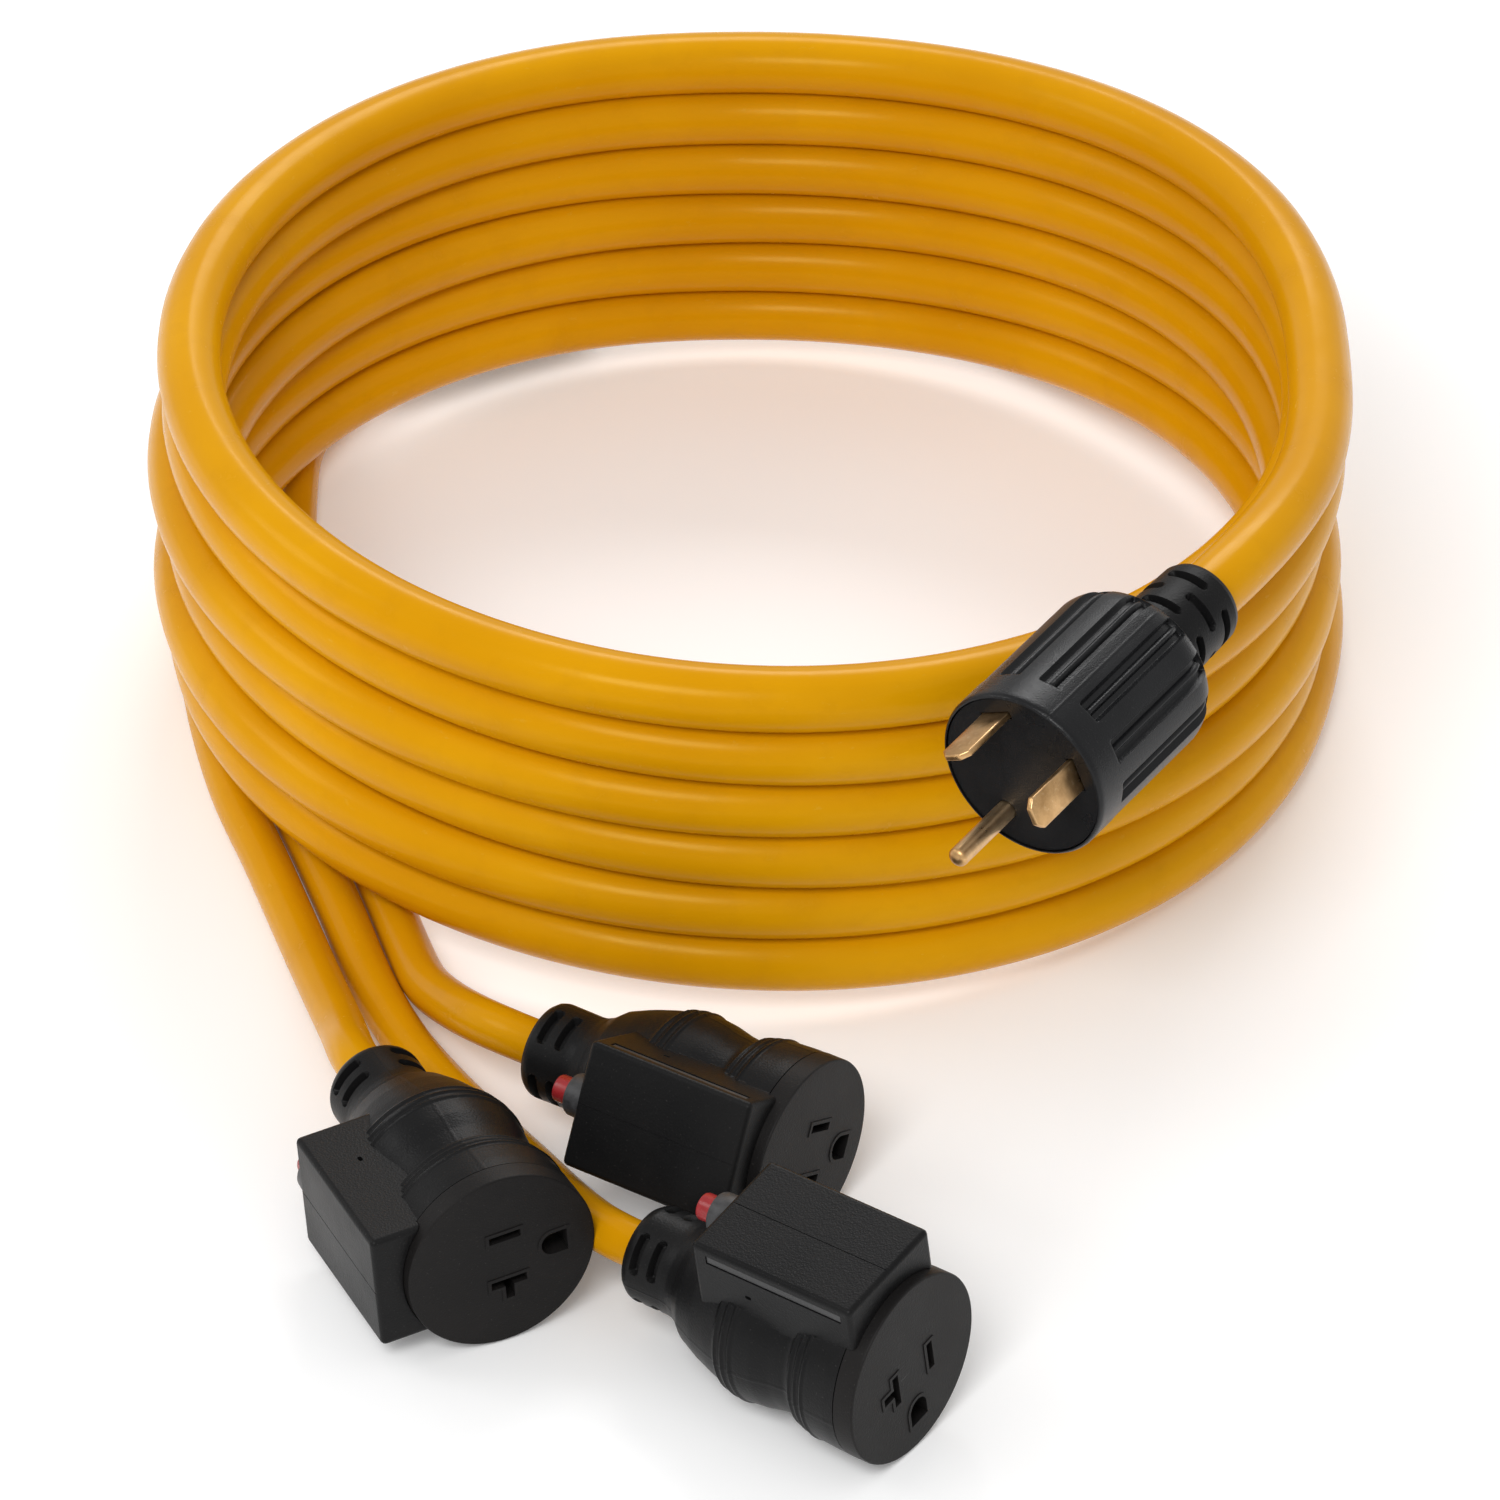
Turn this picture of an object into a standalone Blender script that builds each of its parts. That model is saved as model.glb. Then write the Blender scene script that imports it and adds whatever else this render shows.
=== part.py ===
"""A 30 A shore power cord with three 20 A outlets: one plug, a coiled yellow cord, a splitter and three
yellow tails, each ending in a black outlet with its own circuit breaker and red reset button.
Metres, +Z up, standing on z = 0. The plug end is front right and the outlets are front left."""

import math

import bmesh
import bpy
from mathutils import Matrix, Vector
from mathutils.geometry import interpolate_bezier

MM = 0.001
GAP = 0.0003  # left between neighbouring pieces

# Cords
MAIN_D = 0.0150  # three 10 AWG conductors
TAIL_D = 0.0108  # three 12 AWG conductors
CORD_SIDES = 3  # bevel_resolution
STRAIGHT = 0.007  # how far a cord runs straight out of what it meets

# Coil: six turns on top of each other, its centre at COIL_XY
COIL_XY = Vector((-0.00421, 0.06401, 0.0))
COIL_R = 0.1341
TURNS = 6
LIFT = 0.0138  # the tails run under its left side, so that side is raised
LIFT_AT = math.radians(190)
DROP_FROM, DROP_TO = math.radians(15), math.radians(100)  # where each turn sinks to the next layer
BEND_OUT_FROM, BEND_OUT_TO = math.radians(-15), math.radians(50)  # where the last turn moves outwards
BEND_OUT = 0.0156

# Plug: axis through the face's centre, pointing out of the face
PLUG_FACE = Vector((0.0602, -0.1752, 0.0998))
PLUG_AZIMUTH = math.radians(-124.7)
PLUG_TILT = math.radians(-3)
PLUG_ROLL = math.radians(70)  # the side away from the ground pin, up from the horizontal
PLUG_R = 0.0212
BARREL = 0.050
PLUG_LENGTH = 0.074
BLADE = Vector((0.0016, 0.0080, 0.0172))
BLADE_RING_R = 0.0155
BLADE_SPREAD = math.radians(46)
PIN_R = 0.00238
PIN_LENGTH = 0.0205
PIN_RING_R = 0.0130

# Outlets: face centre, azimuth, tilt and roll of each, all in the coil's frame
OUTLETS = {
    "a": (Vector((-0.0552, -0.2514, 0.0228)), -64.7, 1.8, 3.3),
    "b": (Vector((0.0351, -0.2882, 0.0228)), -36.6, 1.8, -82.0),
    "c": (Vector((0.0133, -0.2144, 0.0228)), -33.5, 1.0, -26.5),
}
OUTLET_LENGTH = 0.072
FACE_R = 0.0226
FACE_THICK = 0.0050
BOX_FRONT = 0.0027
BOX_LENGTH = 0.0430
BOX_WIDTH = 0.0298
BOX_TOP = 0.0292  # from the axis to the box's outer face
RELIEF_R = 0.0114
BLADES_X = -0.0011
SLOT_APART = 0.0127
GROUND_X = BLADES_X - 0.0119
BUTTON_X = BOX_TOP - 0.0056
BUTTON_R = 0.0032
BUTTON_OUT = 0.0040
BUTTON_TRAVEL = 0.0025
COLLAR_R = 0.0050
COLLAR_OUT = 0.0042
BORE_PLAY = 0.0004

# Splitter
SPLIT_FRONT = Vector((-0.0838, 0.1423, 0.0090))
SPLIT_AZIMUTH = math.radians(208)
SPLIT_SIZE = Vector((0.042, 0.037, 0.018))
SNOUT = 0.012
TAIL_APART = 0.0120
TRUNK_SNOUT = 0.018

YELLOW = ("cord_yellow", (0.63, 0.31, 0.005), 0.36, 0.0)
BLACK = ("moulded_black", (0.018, 0.018, 0.019), 0.55, 0.0)
FACE_GREY = ("face_charcoal", (0.026, 0.025, 0.026), 0.6, 0.0)
BRASS = ("brass", (0.62, 0.36, 0.14), 0.34, 1.0)
COPPER = ("copper", (0.72, 0.33, 0.17), 0.35, 1.0)
RED = ("button_red", (0.36, 0.008, 0.012), 0.35, 0.0)
COLLAR_GREY = ("collar_grey", (0.075, 0.075, 0.078), 0.5, 0.0)
STEEL = ("spring_steel", (0.55, 0.55, 0.56), 0.3, 1.0)
PHENOLIC = ("breaker_phenolic", (0.05, 0.035, 0.03), 0.6, 0.0)


def clear_scene():
    for obj in list(bpy.data.objects):
        bpy.data.objects.remove(obj)


def new_collection(name):
    found = bpy.data.collections.new(name)
    bpy.context.scene.collection.children.link(found)
    return found


clear_scene()
PARTS = new_collection("shore_power_cord")
CUTTERS = new_collection("cutters")
CUTTERS.hide_render = True


def material(spec):
    name, colour, roughness, metallic = spec
    found = bpy.data.materials.get(name)
    if found is None:
        found = bpy.data.materials.new(name)
        found.use_nodes = True
        shader = found.node_tree.nodes["Principled BSDF"]
        shader.inputs["Base Color"].default_value = (*colour, 1)
        shader.inputs["Roughness"].default_value = roughness
        shader.inputs["Metallic"].default_value = metallic
    return found


def add(name, mesh, spec, parent=None, smooth_angle=40):
    """A new part, at its parent's place."""
    obj = bpy.data.objects.new(name, mesh)
    PARTS.objects.link(obj)
    obj.data.materials.clear()
    obj.data.materials.append(material(spec))
    obj.parent = parent
    if smooth_angle:
        mesh.shade_smooth()
        mesh.set_sharp_from_angle(angle=math.radians(smooth_angle))
    return obj


def as_cutter(obj):
    for holder in list(obj.users_collection):
        holder.objects.unlink(obj)
    CUTTERS.objects.link(obj)
    obj.hide_render = True
    obj.display_type = "WIRE"
    return obj


def empty(name, matrix):
    obj = bpy.data.objects.new(name, None)
    PARTS.objects.link(obj)
    obj.matrix_world = matrix
    return obj


def block_mesh(size, centre=(0, 0, 0), bevel=0.0, segments=1):
    """A box of this size, its edges rounded."""
    bm = bmesh.new()
    bmesh.ops.create_cube(bm, size=1)
    bmesh.ops.scale(bm, vec=size, verts=bm.verts)
    if bevel:
        bmesh.ops.bevel(bm, geom=bm.edges, offset=bevel, segments=segments, profile=0.5, affect="EDGES")
    bmesh.ops.translate(bm, vec=centre, verts=bm.verts)
    return finished(bm, "block")


def rod_mesh(radius, low, high, at=(0, 0), sides=24, radius_high=None):
    """A cylinder or cone along Z from low to high."""
    bm = bmesh.new()
    top = radius if radius_high is None else radius_high
    size = {"radius1": radius, "radius2": top, "depth": high - low}
    bmesh.ops.create_cone(bm, cap_ends=True, segments=sides, **size)
    bmesh.ops.translate(bm, vec=(at[0], at[1], (low + high) / 2), verts=bm.verts)
    return finished(bm, "rod")


def finished(bm, name):
    mesh = bpy.data.meshes.new(name)
    bm.to_mesh(mesh)
    bm.free()
    return mesh


def turned_mesh(profile, steps):
    """(radius, z) points turned about Z. They run top to bottom on the outer side."""
    mesh = bpy.data.meshes.new("profile")
    points = [(r, 0, z) for r, z in profile]
    mesh.from_pydata(points, [(i, i + 1) for i in range(len(points) - 1)], [])
    obj = bpy.data.objects.new("profile", mesh)
    CUTTERS.objects.link(obj)
    screw = obj.modifiers.new("Screw", "SCREW")
    screw.steps = screw.render_steps = steps
    screw.use_merge_vertices = True
    screw.merge_threshold = 0.00001
    screw.use_smooth_shade = True
    return baked(obj)


def baked(obj):
    """The object's evaluated mesh on its own, and the object removed."""
    graph = bpy.context.evaluated_depsgraph_get()
    mesh = bpy.data.meshes.new_from_object(obj.evaluated_get(graph))
    bm = bmesh.new()
    bm.from_mesh(mesh)
    bmesh.ops.remove_doubles(bm, verts=bm.verts, dist=0.000002)
    bm.to_mesh(mesh)
    bm.free()
    bpy.data.objects.remove(obj)
    return mesh


def combine(obj, mesh, operation, name):
    """Joins the mesh to the part or cuts it away, in the part's own frame."""
    other = bpy.data.objects.new(name, mesh)
    other.parent = obj.parent
    as_cutter(other)
    boolean = obj.modifiers.new(name, "BOOLEAN")
    boolean.operation = operation
    boolean.solver = "EXACT"
    boolean.object = other


def cut(obj, mesh, name="cut"):
    combine(obj, mesh, "DIFFERENCE", name)


def join(obj, mesh, name="join"):
    combine(obj, mesh, "UNION", name)


def moved(mesh, matrix):
    mesh.transform(matrix)
    return mesh


def smooth_route(points, step, ends=(None, None)):
    """Points every step or so along a smooth curve through the given ones."""
    points = [Vector(p) for p in points]
    slopes = []
    for i, point in enumerate(points):
        before, after = points[max(i - 1, 0)], points[min(i + 1, len(points) - 1)]
        slopes.append((after - before).normalized())
    if ends[0] is not None:
        slopes[0] = Vector(ends[0]).normalized()
    if ends[1] is not None:
        slopes[-1] = Vector(ends[1]).normalized()
    fine = [points[0]]
    for i in range(len(points) - 1):
        start, end = points[i], points[i + 1]
        reach = (end - start).length / 3
        fine += interpolate_bezier(start, start + slopes[i] * reach, end - slopes[i + 1] * reach, end, 24)[1:]
    total = sum((b - a).length for a, b in zip(fine, fine[1:]))
    count = max(2, round(total / step))
    route, walked, wanted = [fine[0]], 0.0, total / count
    for a, b in zip(fine, fine[1:]):
        length = (b - a).length
        while len(route) < count and walked + length >= wanted * len(route):
            route.append(a.lerp(b, (wanted * len(route) - walked) / length))
        walked += length
    return route + [fine[-1]]


def tube_mesh(route, radius, resolution=CORD_SIDES):
    """A round tube along the route, its ends closed."""
    curve = bpy.data.curves.new("tube", "CURVE")
    curve.dimensions = "3D"
    curve.bevel_depth = radius
    curve.bevel_resolution = resolution
    curve.use_fill_caps = True
    curve.twist_mode = "Z_UP"
    spline = curve.splines.new("POLY")
    spline.points.add(len(route) - 1)
    for point, place in zip(spline.points, route):
        point.co = (*place, 1)
    obj = bpy.data.objects.new("tube", curve)
    CUTTERS.objects.link(obj)
    return baked(obj)


# ---------------------------------------------------------------- coil and cords


def ease(t):
    t = min(max(t, 0.0), 1.0)
    return t * t * (3 - 2 * t)


def lift(angle):
    """How far the coil is raised at this angle, because it lies on the tails."""
    return LIFT * (1 + math.cos(angle - LIFT_AT)) / 2


def coil_point(turn):
    """The cord's centre after this many turns, counted from where the first passes the +X side."""
    angle = math.tau * turn
    within = angle % math.tau
    layer = math.floor(turn) + ease((within - DROP_FROM) / (DROP_TO - DROP_FROM))
    out = BEND_OUT * ease((angle - TURNS * math.tau - BEND_OUT_FROM) / (BEND_OUT_TO - BEND_OUT_FROM))
    height = (TURNS + 0.5 - min(layer, TURNS)) * MAIN_D
    raised = lift(angle) * (1 - out / BEND_OUT)
    radius = COIL_R + out
    return COIL_XY + Vector((radius * math.cos(angle), radius * math.sin(angle), height + raised))


def in_coil_frame(x, y, z):
    """Millimetres from the coil's centre, in metres."""
    return COIL_XY + Vector((x, y, z)) * MM


def ring_mesh():
    """The coil's outer shape: a turned ring with round edges, leaning on the tails under its left side."""
    radius, height = MAIN_D / 2, TURNS * MAIN_D
    corner = [math.radians(90 - 30 * i) for i in range(7)]
    outer = [(math.cos(a), math.sin(a)) for a in corner]
    profile = [(COIL_R + x * radius, z * radius + height - radius) for x, z in outer[:3]]
    profile += [(COIL_R + radius, height - radius), (COIL_R + radius, radius)]
    profile += [(COIL_R + x * radius, z * radius + radius) for x, z in outer[4:]]
    profile += [(COIL_R - x * radius, z * radius + radius) for x, z in outer[-2:3:-1]]
    profile += [(COIL_R - radius, height - radius)]
    profile += [(COIL_R - x * radius, z * radius + height - radius) for x, z in outer[2:0:-1]]
    profile.append(profile[0])
    mesh = turned_mesh(profile, 56)
    lean = LIFT / 2 / COIL_R
    toward = Vector((math.cos(LIFT_AT), math.sin(LIFT_AT)))
    for vertex in mesh.vertices:
        vertex.co.z += LIFT / 2 + lean * vertex.co.xy.dot(toward)
    return moved(mesh, Matrix.Translation(COIL_XY))


RAMP_FROM = math.radians(4) / math.tau  # the turn at which the plug's lead becomes part of the coil's solid
RAMP_TO = math.radians(92) / math.tau
EXIT_FROM = TURNS - math.radians(28) / math.tau
EXIT_TO = TURNS + math.radians(46) / math.tau
RAMP_POINTS, EXIT_POINTS = 10, 9


def coil_stretch(start, end, count):
    return [coil_point(start + (end - start) * i / (count - 1)) for i in range(count)]


def make_coil():
    coil = add("coil", ring_mesh(), YELLOW)
    join(coil, tube_mesh(coil_stretch(RAMP_FROM, RAMP_TO, RAMP_POINTS), MAIN_D / 2), "first_turn_ramp")
    join(coil, tube_mesh(coil_stretch(EXIT_FROM, EXIT_TO, EXIT_POINTS), MAIN_D / 2), "last_turn_exit")


PLUG_LEAD = [
    (111.5, -101.5, 104.4), (121.5, -83, 103.6), (129.5, -61, 101.8), (133.6, -34, 99.8), (134.2, -10, 98.4),
]
TRUNK = [
    (86, 126, 7.5), (65, 146, 7.5), (47.5, 159, 7.5), (29.5, 169.2, 7.7), (14, 175.4, 8.0), (-2, 177.6, 8.4),
    (-17, 175.8, 8.8),
]
TAILS = {
    "a": [(-119, 130.5, 6.0), (-131, 109.5, 5.4), (-135.6, 84, 5.4), (-135.9, 52, 5.4), (-135.2, 18, 5.4),
          (-132, -18, 5.4), (-124.3, -55, 5.4), (-114.8, -84, 5.4), (-108, -106, 5.6), (-100.5, -133, 8.6),
          (-94, -158, 13.6)],
    "b": [(-110, 121, 6.2), (-119.6, 104, 5.4), (-124.2, 84, 5.4), (-124.6, 52, 5.4), (-123.9, 18, 5.4),
          (-120.6, -17, 5.4), (-113, -52, 5.4), (-103.6, -80.5, 5.4), (-96.6, -102.5, 5.4),
          (-88.2, -131, 5.4), (-80, -151.5, 5.4), (-71.6, -167, 5.8), (-60.5, -185, 7.0),
          (-48.5, -205, 9.8), (-38.5, -224, 14.2)],
    "c": [(-100.1, 113.5, 6.2), (-108, 99, 5.4), (-112.8, 84, 5.4), (-113.3, 52, 5.4), (-112.5, 18, 5.4),
          (-109, -16, 5.4), (-101.4, -50, 5.4), (-92.4, -77.5, 5.4), (-84.8, -102, 5.4), (-79.5, -121, 6.2),
          (-73.5, -140, 10.2)],
}


def direction(azimuth, tilt=0.0):
    return Vector((math.cos(tilt) * math.cos(azimuth), math.cos(tilt) * math.sin(azimuth), math.sin(tilt)))


def frame_matrix(origin, azimuth, tilt, roll):
    """+Z out of the face, +X away from the ground contact."""
    z = direction(azimuth, tilt)
    side = Vector((-math.sin(azimuth), math.cos(azimuth), 0))
    x = -(math.cos(roll) * side + math.sin(roll) * z.cross(side))
    y = z.cross(x)
    matrix = Matrix((x, y, z)).transposed().to_4x4()
    matrix.translation = origin
    return matrix


def plug_matrix():
    return frame_matrix(COIL_XY + PLUG_FACE, PLUG_AZIMUTH, PLUG_TILT, math.pi + PLUG_ROLL)


def outlet_matrix(key):
    place, azimuth, tilt, roll = OUTLETS[key]
    return frame_matrix(COIL_XY + place, *(math.radians(v) for v in (azimuth, tilt, roll)))


def splitter_matrix():
    """+Z out of the side with the tails, +X sideways and +Y down."""
    return frame_matrix(COIL_XY + SPLIT_FRONT, SPLIT_AZIMUTH, 0.0, 0.0)


def cord_route(start, heading, middle, end, arrival, step):
    """A smooth route that starts and ends straight, a gap away from what it meets."""
    first = start + heading * GAP
    last = end - arrival * GAP
    points = [first + heading * STRAIGHT]
    points += [in_coil_frame(*p) for p in middle]
    points += [last - arrival * STRAIGHT]
    return [first] + smooth_route(points, step, (heading, arrival)) + [last]


def make_leads():
    plug = plug_matrix()
    back = -plug.col[2].xyz
    joins, next_point = coil_stretch(RAMP_FROM, RAMP_TO, RAMP_POINTS)[:2]
    heading = (next_point - joins).normalized()
    route = cord_route(plug @ Vector((0, 0, -PLUG_LENGTH)), back, PLUG_LEAD, joins, heading, 0.026)
    add("plug_lead", tube_mesh(route, MAIN_D / 2), YELLOW)

    before, leaves = coil_stretch(EXIT_FROM, EXIT_TO, EXIT_POINTS)[-2:]
    heading = (leaves - before).normalized()
    split = splitter_matrix()
    entry = split @ Vector((0, 0, -SPLIT_SIZE.x - TRUNK_SNOUT))
    route = cord_route(leaves, heading, TRUNK, entry, split.col[2].xyz, 0.030)
    add("trunk_lead", tube_mesh(route, MAIN_D / 2), YELLOW)


def tail_exit(key):
    """Where a tail leaves the splitter: a is the outer one."""
    place = {"a": 1, "b": 0, "c": -1}[key]
    split = splitter_matrix()
    side = Vector((0, 0, 1)).cross(split.col[2].xyz)
    return split @ Vector((0, 0, SNOUT)) - side * place * TAIL_APART, split.col[2].xyz


def make_tails():
    for key in TAILS:
        start, heading = tail_exit(key)
        outlet = outlet_matrix(key)
        route = cord_route(
            start, heading, TAILS[key], outlet @ Vector((0, 0, -OUTLET_LENGTH)), outlet.col[2].xyz, 0.024
        )
        add(f"tail_{key}", tube_mesh(route, TAIL_D / 2), YELLOW)


# ---------------------------------------------------------------- plug

CORE_R = 0.0183
CORE_DEPTH = 0.030
WIRE_ROOM = 0.007
FLUTES = 12
SHANK = 0.020  # of a blade or pin, inside the core
CRIMP_R, CRIMP_END = 0.0026, 0.036
CORD_BORE_R = 0.0080


def blade_mesh():
    """A flat blade and its shank, the corners of its tip cut off."""
    length = BLADE.z + SHANK
    bm = bmesh.new()
    bm.from_mesh(block_mesh((BLADE.x, BLADE.y, length), (BLADE_RING_R, 0, BLADE.z - length / 2)))
    corners = []
    for edge in bm.edges:
        across = abs(edge.verts[0].co.y - edge.verts[1].co.y) < 0.00001
        if across and all(v.co.z > BLADE.z - 0.00001 for v in edge.verts):
            corners.append(edge)
    bmesh.ops.bevel(bm, geom=corners, offset=0.0022, segments=1, affect="EDGES")
    return finished(bm, "blade")


def make_shell(frame):
    neck = -BARREL
    profile = [(0, 0), (PLUG_R - 0.0006, 0), (PLUG_R, -0.0006), (PLUG_R, -0.041), (PLUG_R - 0.0012, -0.0455),
               (PLUG_R - 0.0045, -0.0485), (PLUG_R - 0.0095, neck), (0, neck)]
    shell = add("plug_shell", turned_mesh(profile, 40), BLACK, frame)
    cut(shell, rod_mesh(CORE_R + GAP, -CORE_DEPTH - WIRE_ROOM, 0.01, sides=32), "core_seat")
    cut(shell, rod_mesh(CORD_BORE_R, neck - 0.001, 0.01, sides=20), "cord_bore")
    for i in range(FLUTES):
        turn = Matrix.Rotation(math.tau * (i + 0.5) / FLUTES, 4, "Z")
        flute = block_mesh((0.0028, 0.0058, 0.034), (PLUG_R, 0, -0.0315), 0.0009)
        cut(shell, moved(flute, turn), f"flute_{i}")


def make_plug_relief(frame):
    neck = -BARREL - GAP
    profile = [(0, neck), (0.0112, neck), (0.0112, neck - 0.004), (0.0108, -0.060), (0.0101, -PLUG_LENGTH),
               (0, -PLUG_LENGTH)]
    relief = add("plug_strain_relief", turned_mesh(profile, 28), BLACK, frame)
    cut(relief, rod_mesh(0.0070, neck - 0.016, neck + 0.001, sides=16), "wire_room")
    for i in range(4):
        for row, depth in enumerate((-0.0575, -0.0645)):
            turn = Matrix.Rotation(math.tau * (i + 0.5 * row) / 4, 4, "Z")
            slot = block_mesh((0.0030, 0.0110, 0.0019), (0.0108, 0, depth), 0.0005)
            cut(relief, moved(slot, turn), f"flex_slot_{row}_{i}")


def make_plug():
    frame = empty("plug_frame", plug_matrix())
    make_shell(frame)
    make_plug_relief(frame)
    core = add("plug_core", rod_mesh(CORE_R, -CORE_DEPTH, -0.0002, sides=32), FACE_GREY, frame)
    crimp_x = BLADE_RING_R - 0.0020
    for name, side in (("hot", 1), ("neutral", -1)):
        turn = Matrix.Rotation(side * BLADE_SPREAD, 4, "Z")
        add(f"plug_blade_{name}", moved(blade_mesh(), turn), BRASS, frame, 0)
        room = (BLADE.x + 2 * GAP, BLADE.y + 2 * GAP, SHANK + 0.001)
        seat = block_mesh(room, (BLADE_RING_R, 0, -SHANK / 2))
        cut(core, moved(seat, turn), f"blade_seat_{name}")
        crimp = rod_mesh(CRIMP_R, -CRIMP_END, -SHANK - GAP, (crimp_x, 0), 12)
        add(f"plug_crimp_{name}", moved(crimp, turn), COPPER, frame)
        room = rod_mesh(CRIMP_R + 0.0004, -CRIMP_END - 0.004, -SHANK + 0.002, (crimp_x, 0), 12)
        cut(core, moved(room, turn), f"crimp_room_{name}")
    tip = [(0, PIN_LENGTH), (PIN_R * 0.55, PIN_LENGTH - 0.0002), (PIN_R, PIN_LENGTH - 0.0016)]
    pin = turned_mesh([*tip, (PIN_R, -SHANK), (0, -SHANK)], 20)
    add("plug_ground_pin", moved(pin, Matrix.Translation((-PIN_RING_R, 0, 0))), BRASS, frame)
    at = (-PIN_RING_R, 0)
    cut(core, rod_mesh(PIN_R + GAP, -SHANK - 0.0005, 0.01, at, 20), "pin_seat")
    add("plug_crimp_ground", rod_mesh(CRIMP_R, -CRIMP_END, -SHANK - 0.0006, at, 12), COPPER, frame)
    cut(core, rod_mesh(CRIMP_R + 0.0004, -CRIMP_END - 0.004, -SHANK, at, 12), "crimp_room_ground")


# ---------------------------------------------------------------- outlets

SHELL_R = 0.0165  # the cavity behind the face
CAVITY_DEPTH = 0.030
SPIGOT = 0.0160  # how deep the face's plug reaches
POCKET_TOP = 0.0055  # behind the face
WIRE_R = 0.0046
BOX_FOOT = 0.0060  # from the axis to where the box's sides start, inside the body
REAR = -BOX_FRONT - BOX_LENGTH
ROOM_LOW, ROOM_HIGH = REAR + 0.0022, -SPIGOT - 0.0005
ROOM = (0.0140, BOX_WIDTH - 0.0046, ROOM_HIGH - ROOM_LOW)
ROOM_X = BOX_TOP - 0.0020 - ROOM[0] / 2
BUTTON_ROOM = 0.0075  # for the button's foot and its spring
CONTACTS = (  # name, place, width, thickness, room between the leaves
    ("hot", BLADES_X, -SLOT_APART / 2, 0.0074, 0.0048, 0.0017),
    ("neutral", BLADES_X, SLOT_APART / 2, 0.0086, 0.0048, 0.0017),
    ("ground", GROUND_X, 0, 0.0064, 0.0084, 0.0048),
)
BODY_PROFILE = [  # behind the face, (radius, z)
    (0.0, -FACE_THICK - GAP), (0.0222, -FACE_THICK - GAP), (0.0223, -0.0080), (0.0220, -0.0132),
    (0.0210, -0.0185), (0.0198, -0.0200), (0.0199, -0.0250), (0.0209, -0.0293), (0.0213, -0.0333),
    (0.0210, -0.0370), (0.0192, -0.0430), (0.0176, -0.0480), (0.0153, -0.0534), (0.0127, -0.0565),
    (0.0116, -0.0590), (RELIEF_R, -0.0610), (RELIEF_R, -0.0700), (0.0104, -OUTLET_LENGTH),
    (0.0, -OUTLET_LENGTH),
]


def slot_cutters(depth):
    """The three contact openings, from above the face down to this depth."""
    blade_y = SLOT_APART / 2
    low, high = -depth, 0.003
    span, middle = high - low, (high + low) / 2
    ground_r = 0.0028
    return (
        ("hot", block_mesh((0.0070, 0.0023, span), (BLADES_X, -blade_y, middle))),
        ("neutral_bar", block_mesh((0.0082, 0.0025, span), (BLADES_X, blade_y, middle))),
        ("neutral_leg", block_mesh((0.0027, 0.0050, span), (BLADES_X, blade_y + 0.0032, middle))),
        ("ground", rod_mesh(ground_r, low, high, (GROUND_X, 0), 20)),
        ("ground_flat", block_mesh((ground_r, 2 * ground_r, span), (GROUND_X - ground_r / 2, 0, middle))),
    )


def contact_mesh(width, between, low, high, at):
    """A spring contact: two leaves joined at the bottom, open at the top."""
    leaf = 0.0008
    inner, outer = between / 2, between / 2 + leaf
    outline = [(-outer, high), (-outer, low), (outer, low), (outer, high),
               (inner, high), (inner, low + leaf), (-inner, low + leaf), (-inner, high)]
    bm = bmesh.new()
    face = bm.faces.new([bm.verts.new((-width / 2, y, z)) for y, z in outline])
    grown = bmesh.ops.extrude_face_region(bm, geom=[face])
    far_side = [v for v in grown["geom"] if isinstance(v, bmesh.types.BMVert)]
    bmesh.ops.translate(bm, vec=(width, 0, 0), verts=far_side)
    bmesh.ops.recalc_face_normals(bm, faces=bm.faces)
    bmesh.ops.translate(bm, vec=(*at, 0), verts=bm.verts)
    return finished(bm, "contact")


def make_body(name, frame):
    """The overmould with the breaker's box on it, hollow for the contacts, the wires and the breaker."""
    body = add(f"{name}_body", turned_mesh(BODY_PROFILE, 36), BLACK, frame)
    box_size = (BOX_TOP - BOX_FOOT, BOX_WIDTH, BOX_LENGTH)
    box_middle = ((BOX_TOP + BOX_FOOT) / 2, 0, (REAR - BOX_FRONT) / 2)
    join(body, block_mesh(box_size, box_middle, 0.0014, 2), "breaker_box")
    cut(body, rod_mesh(SHELL_R, -CAVITY_DEPTH, 0.01, sides=28), "contact_room")
    cut(body, rod_mesh(FACE_R + GAP, -FACE_THICK - GAP, 0.01, sides=48), "face_seat")
    cut(body, block_mesh(ROOM, (ROOM_X, 0, (ROOM_LOW + ROOM_HIGH) / 2)), "breaker_room")
    cut(body, rod_mesh(WIRE_R, -OUTLET_LENGTH + 0.016, -CAVITY_DEPTH + 0.001, sides=16), "wire_room")
    cut(body, rod_mesh(BUTTON_R + BORE_PLAY, REAR - 0.01, ROOM_LOW + 0.001, (BUTTON_X, 0), 20), "button_bore")


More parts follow.
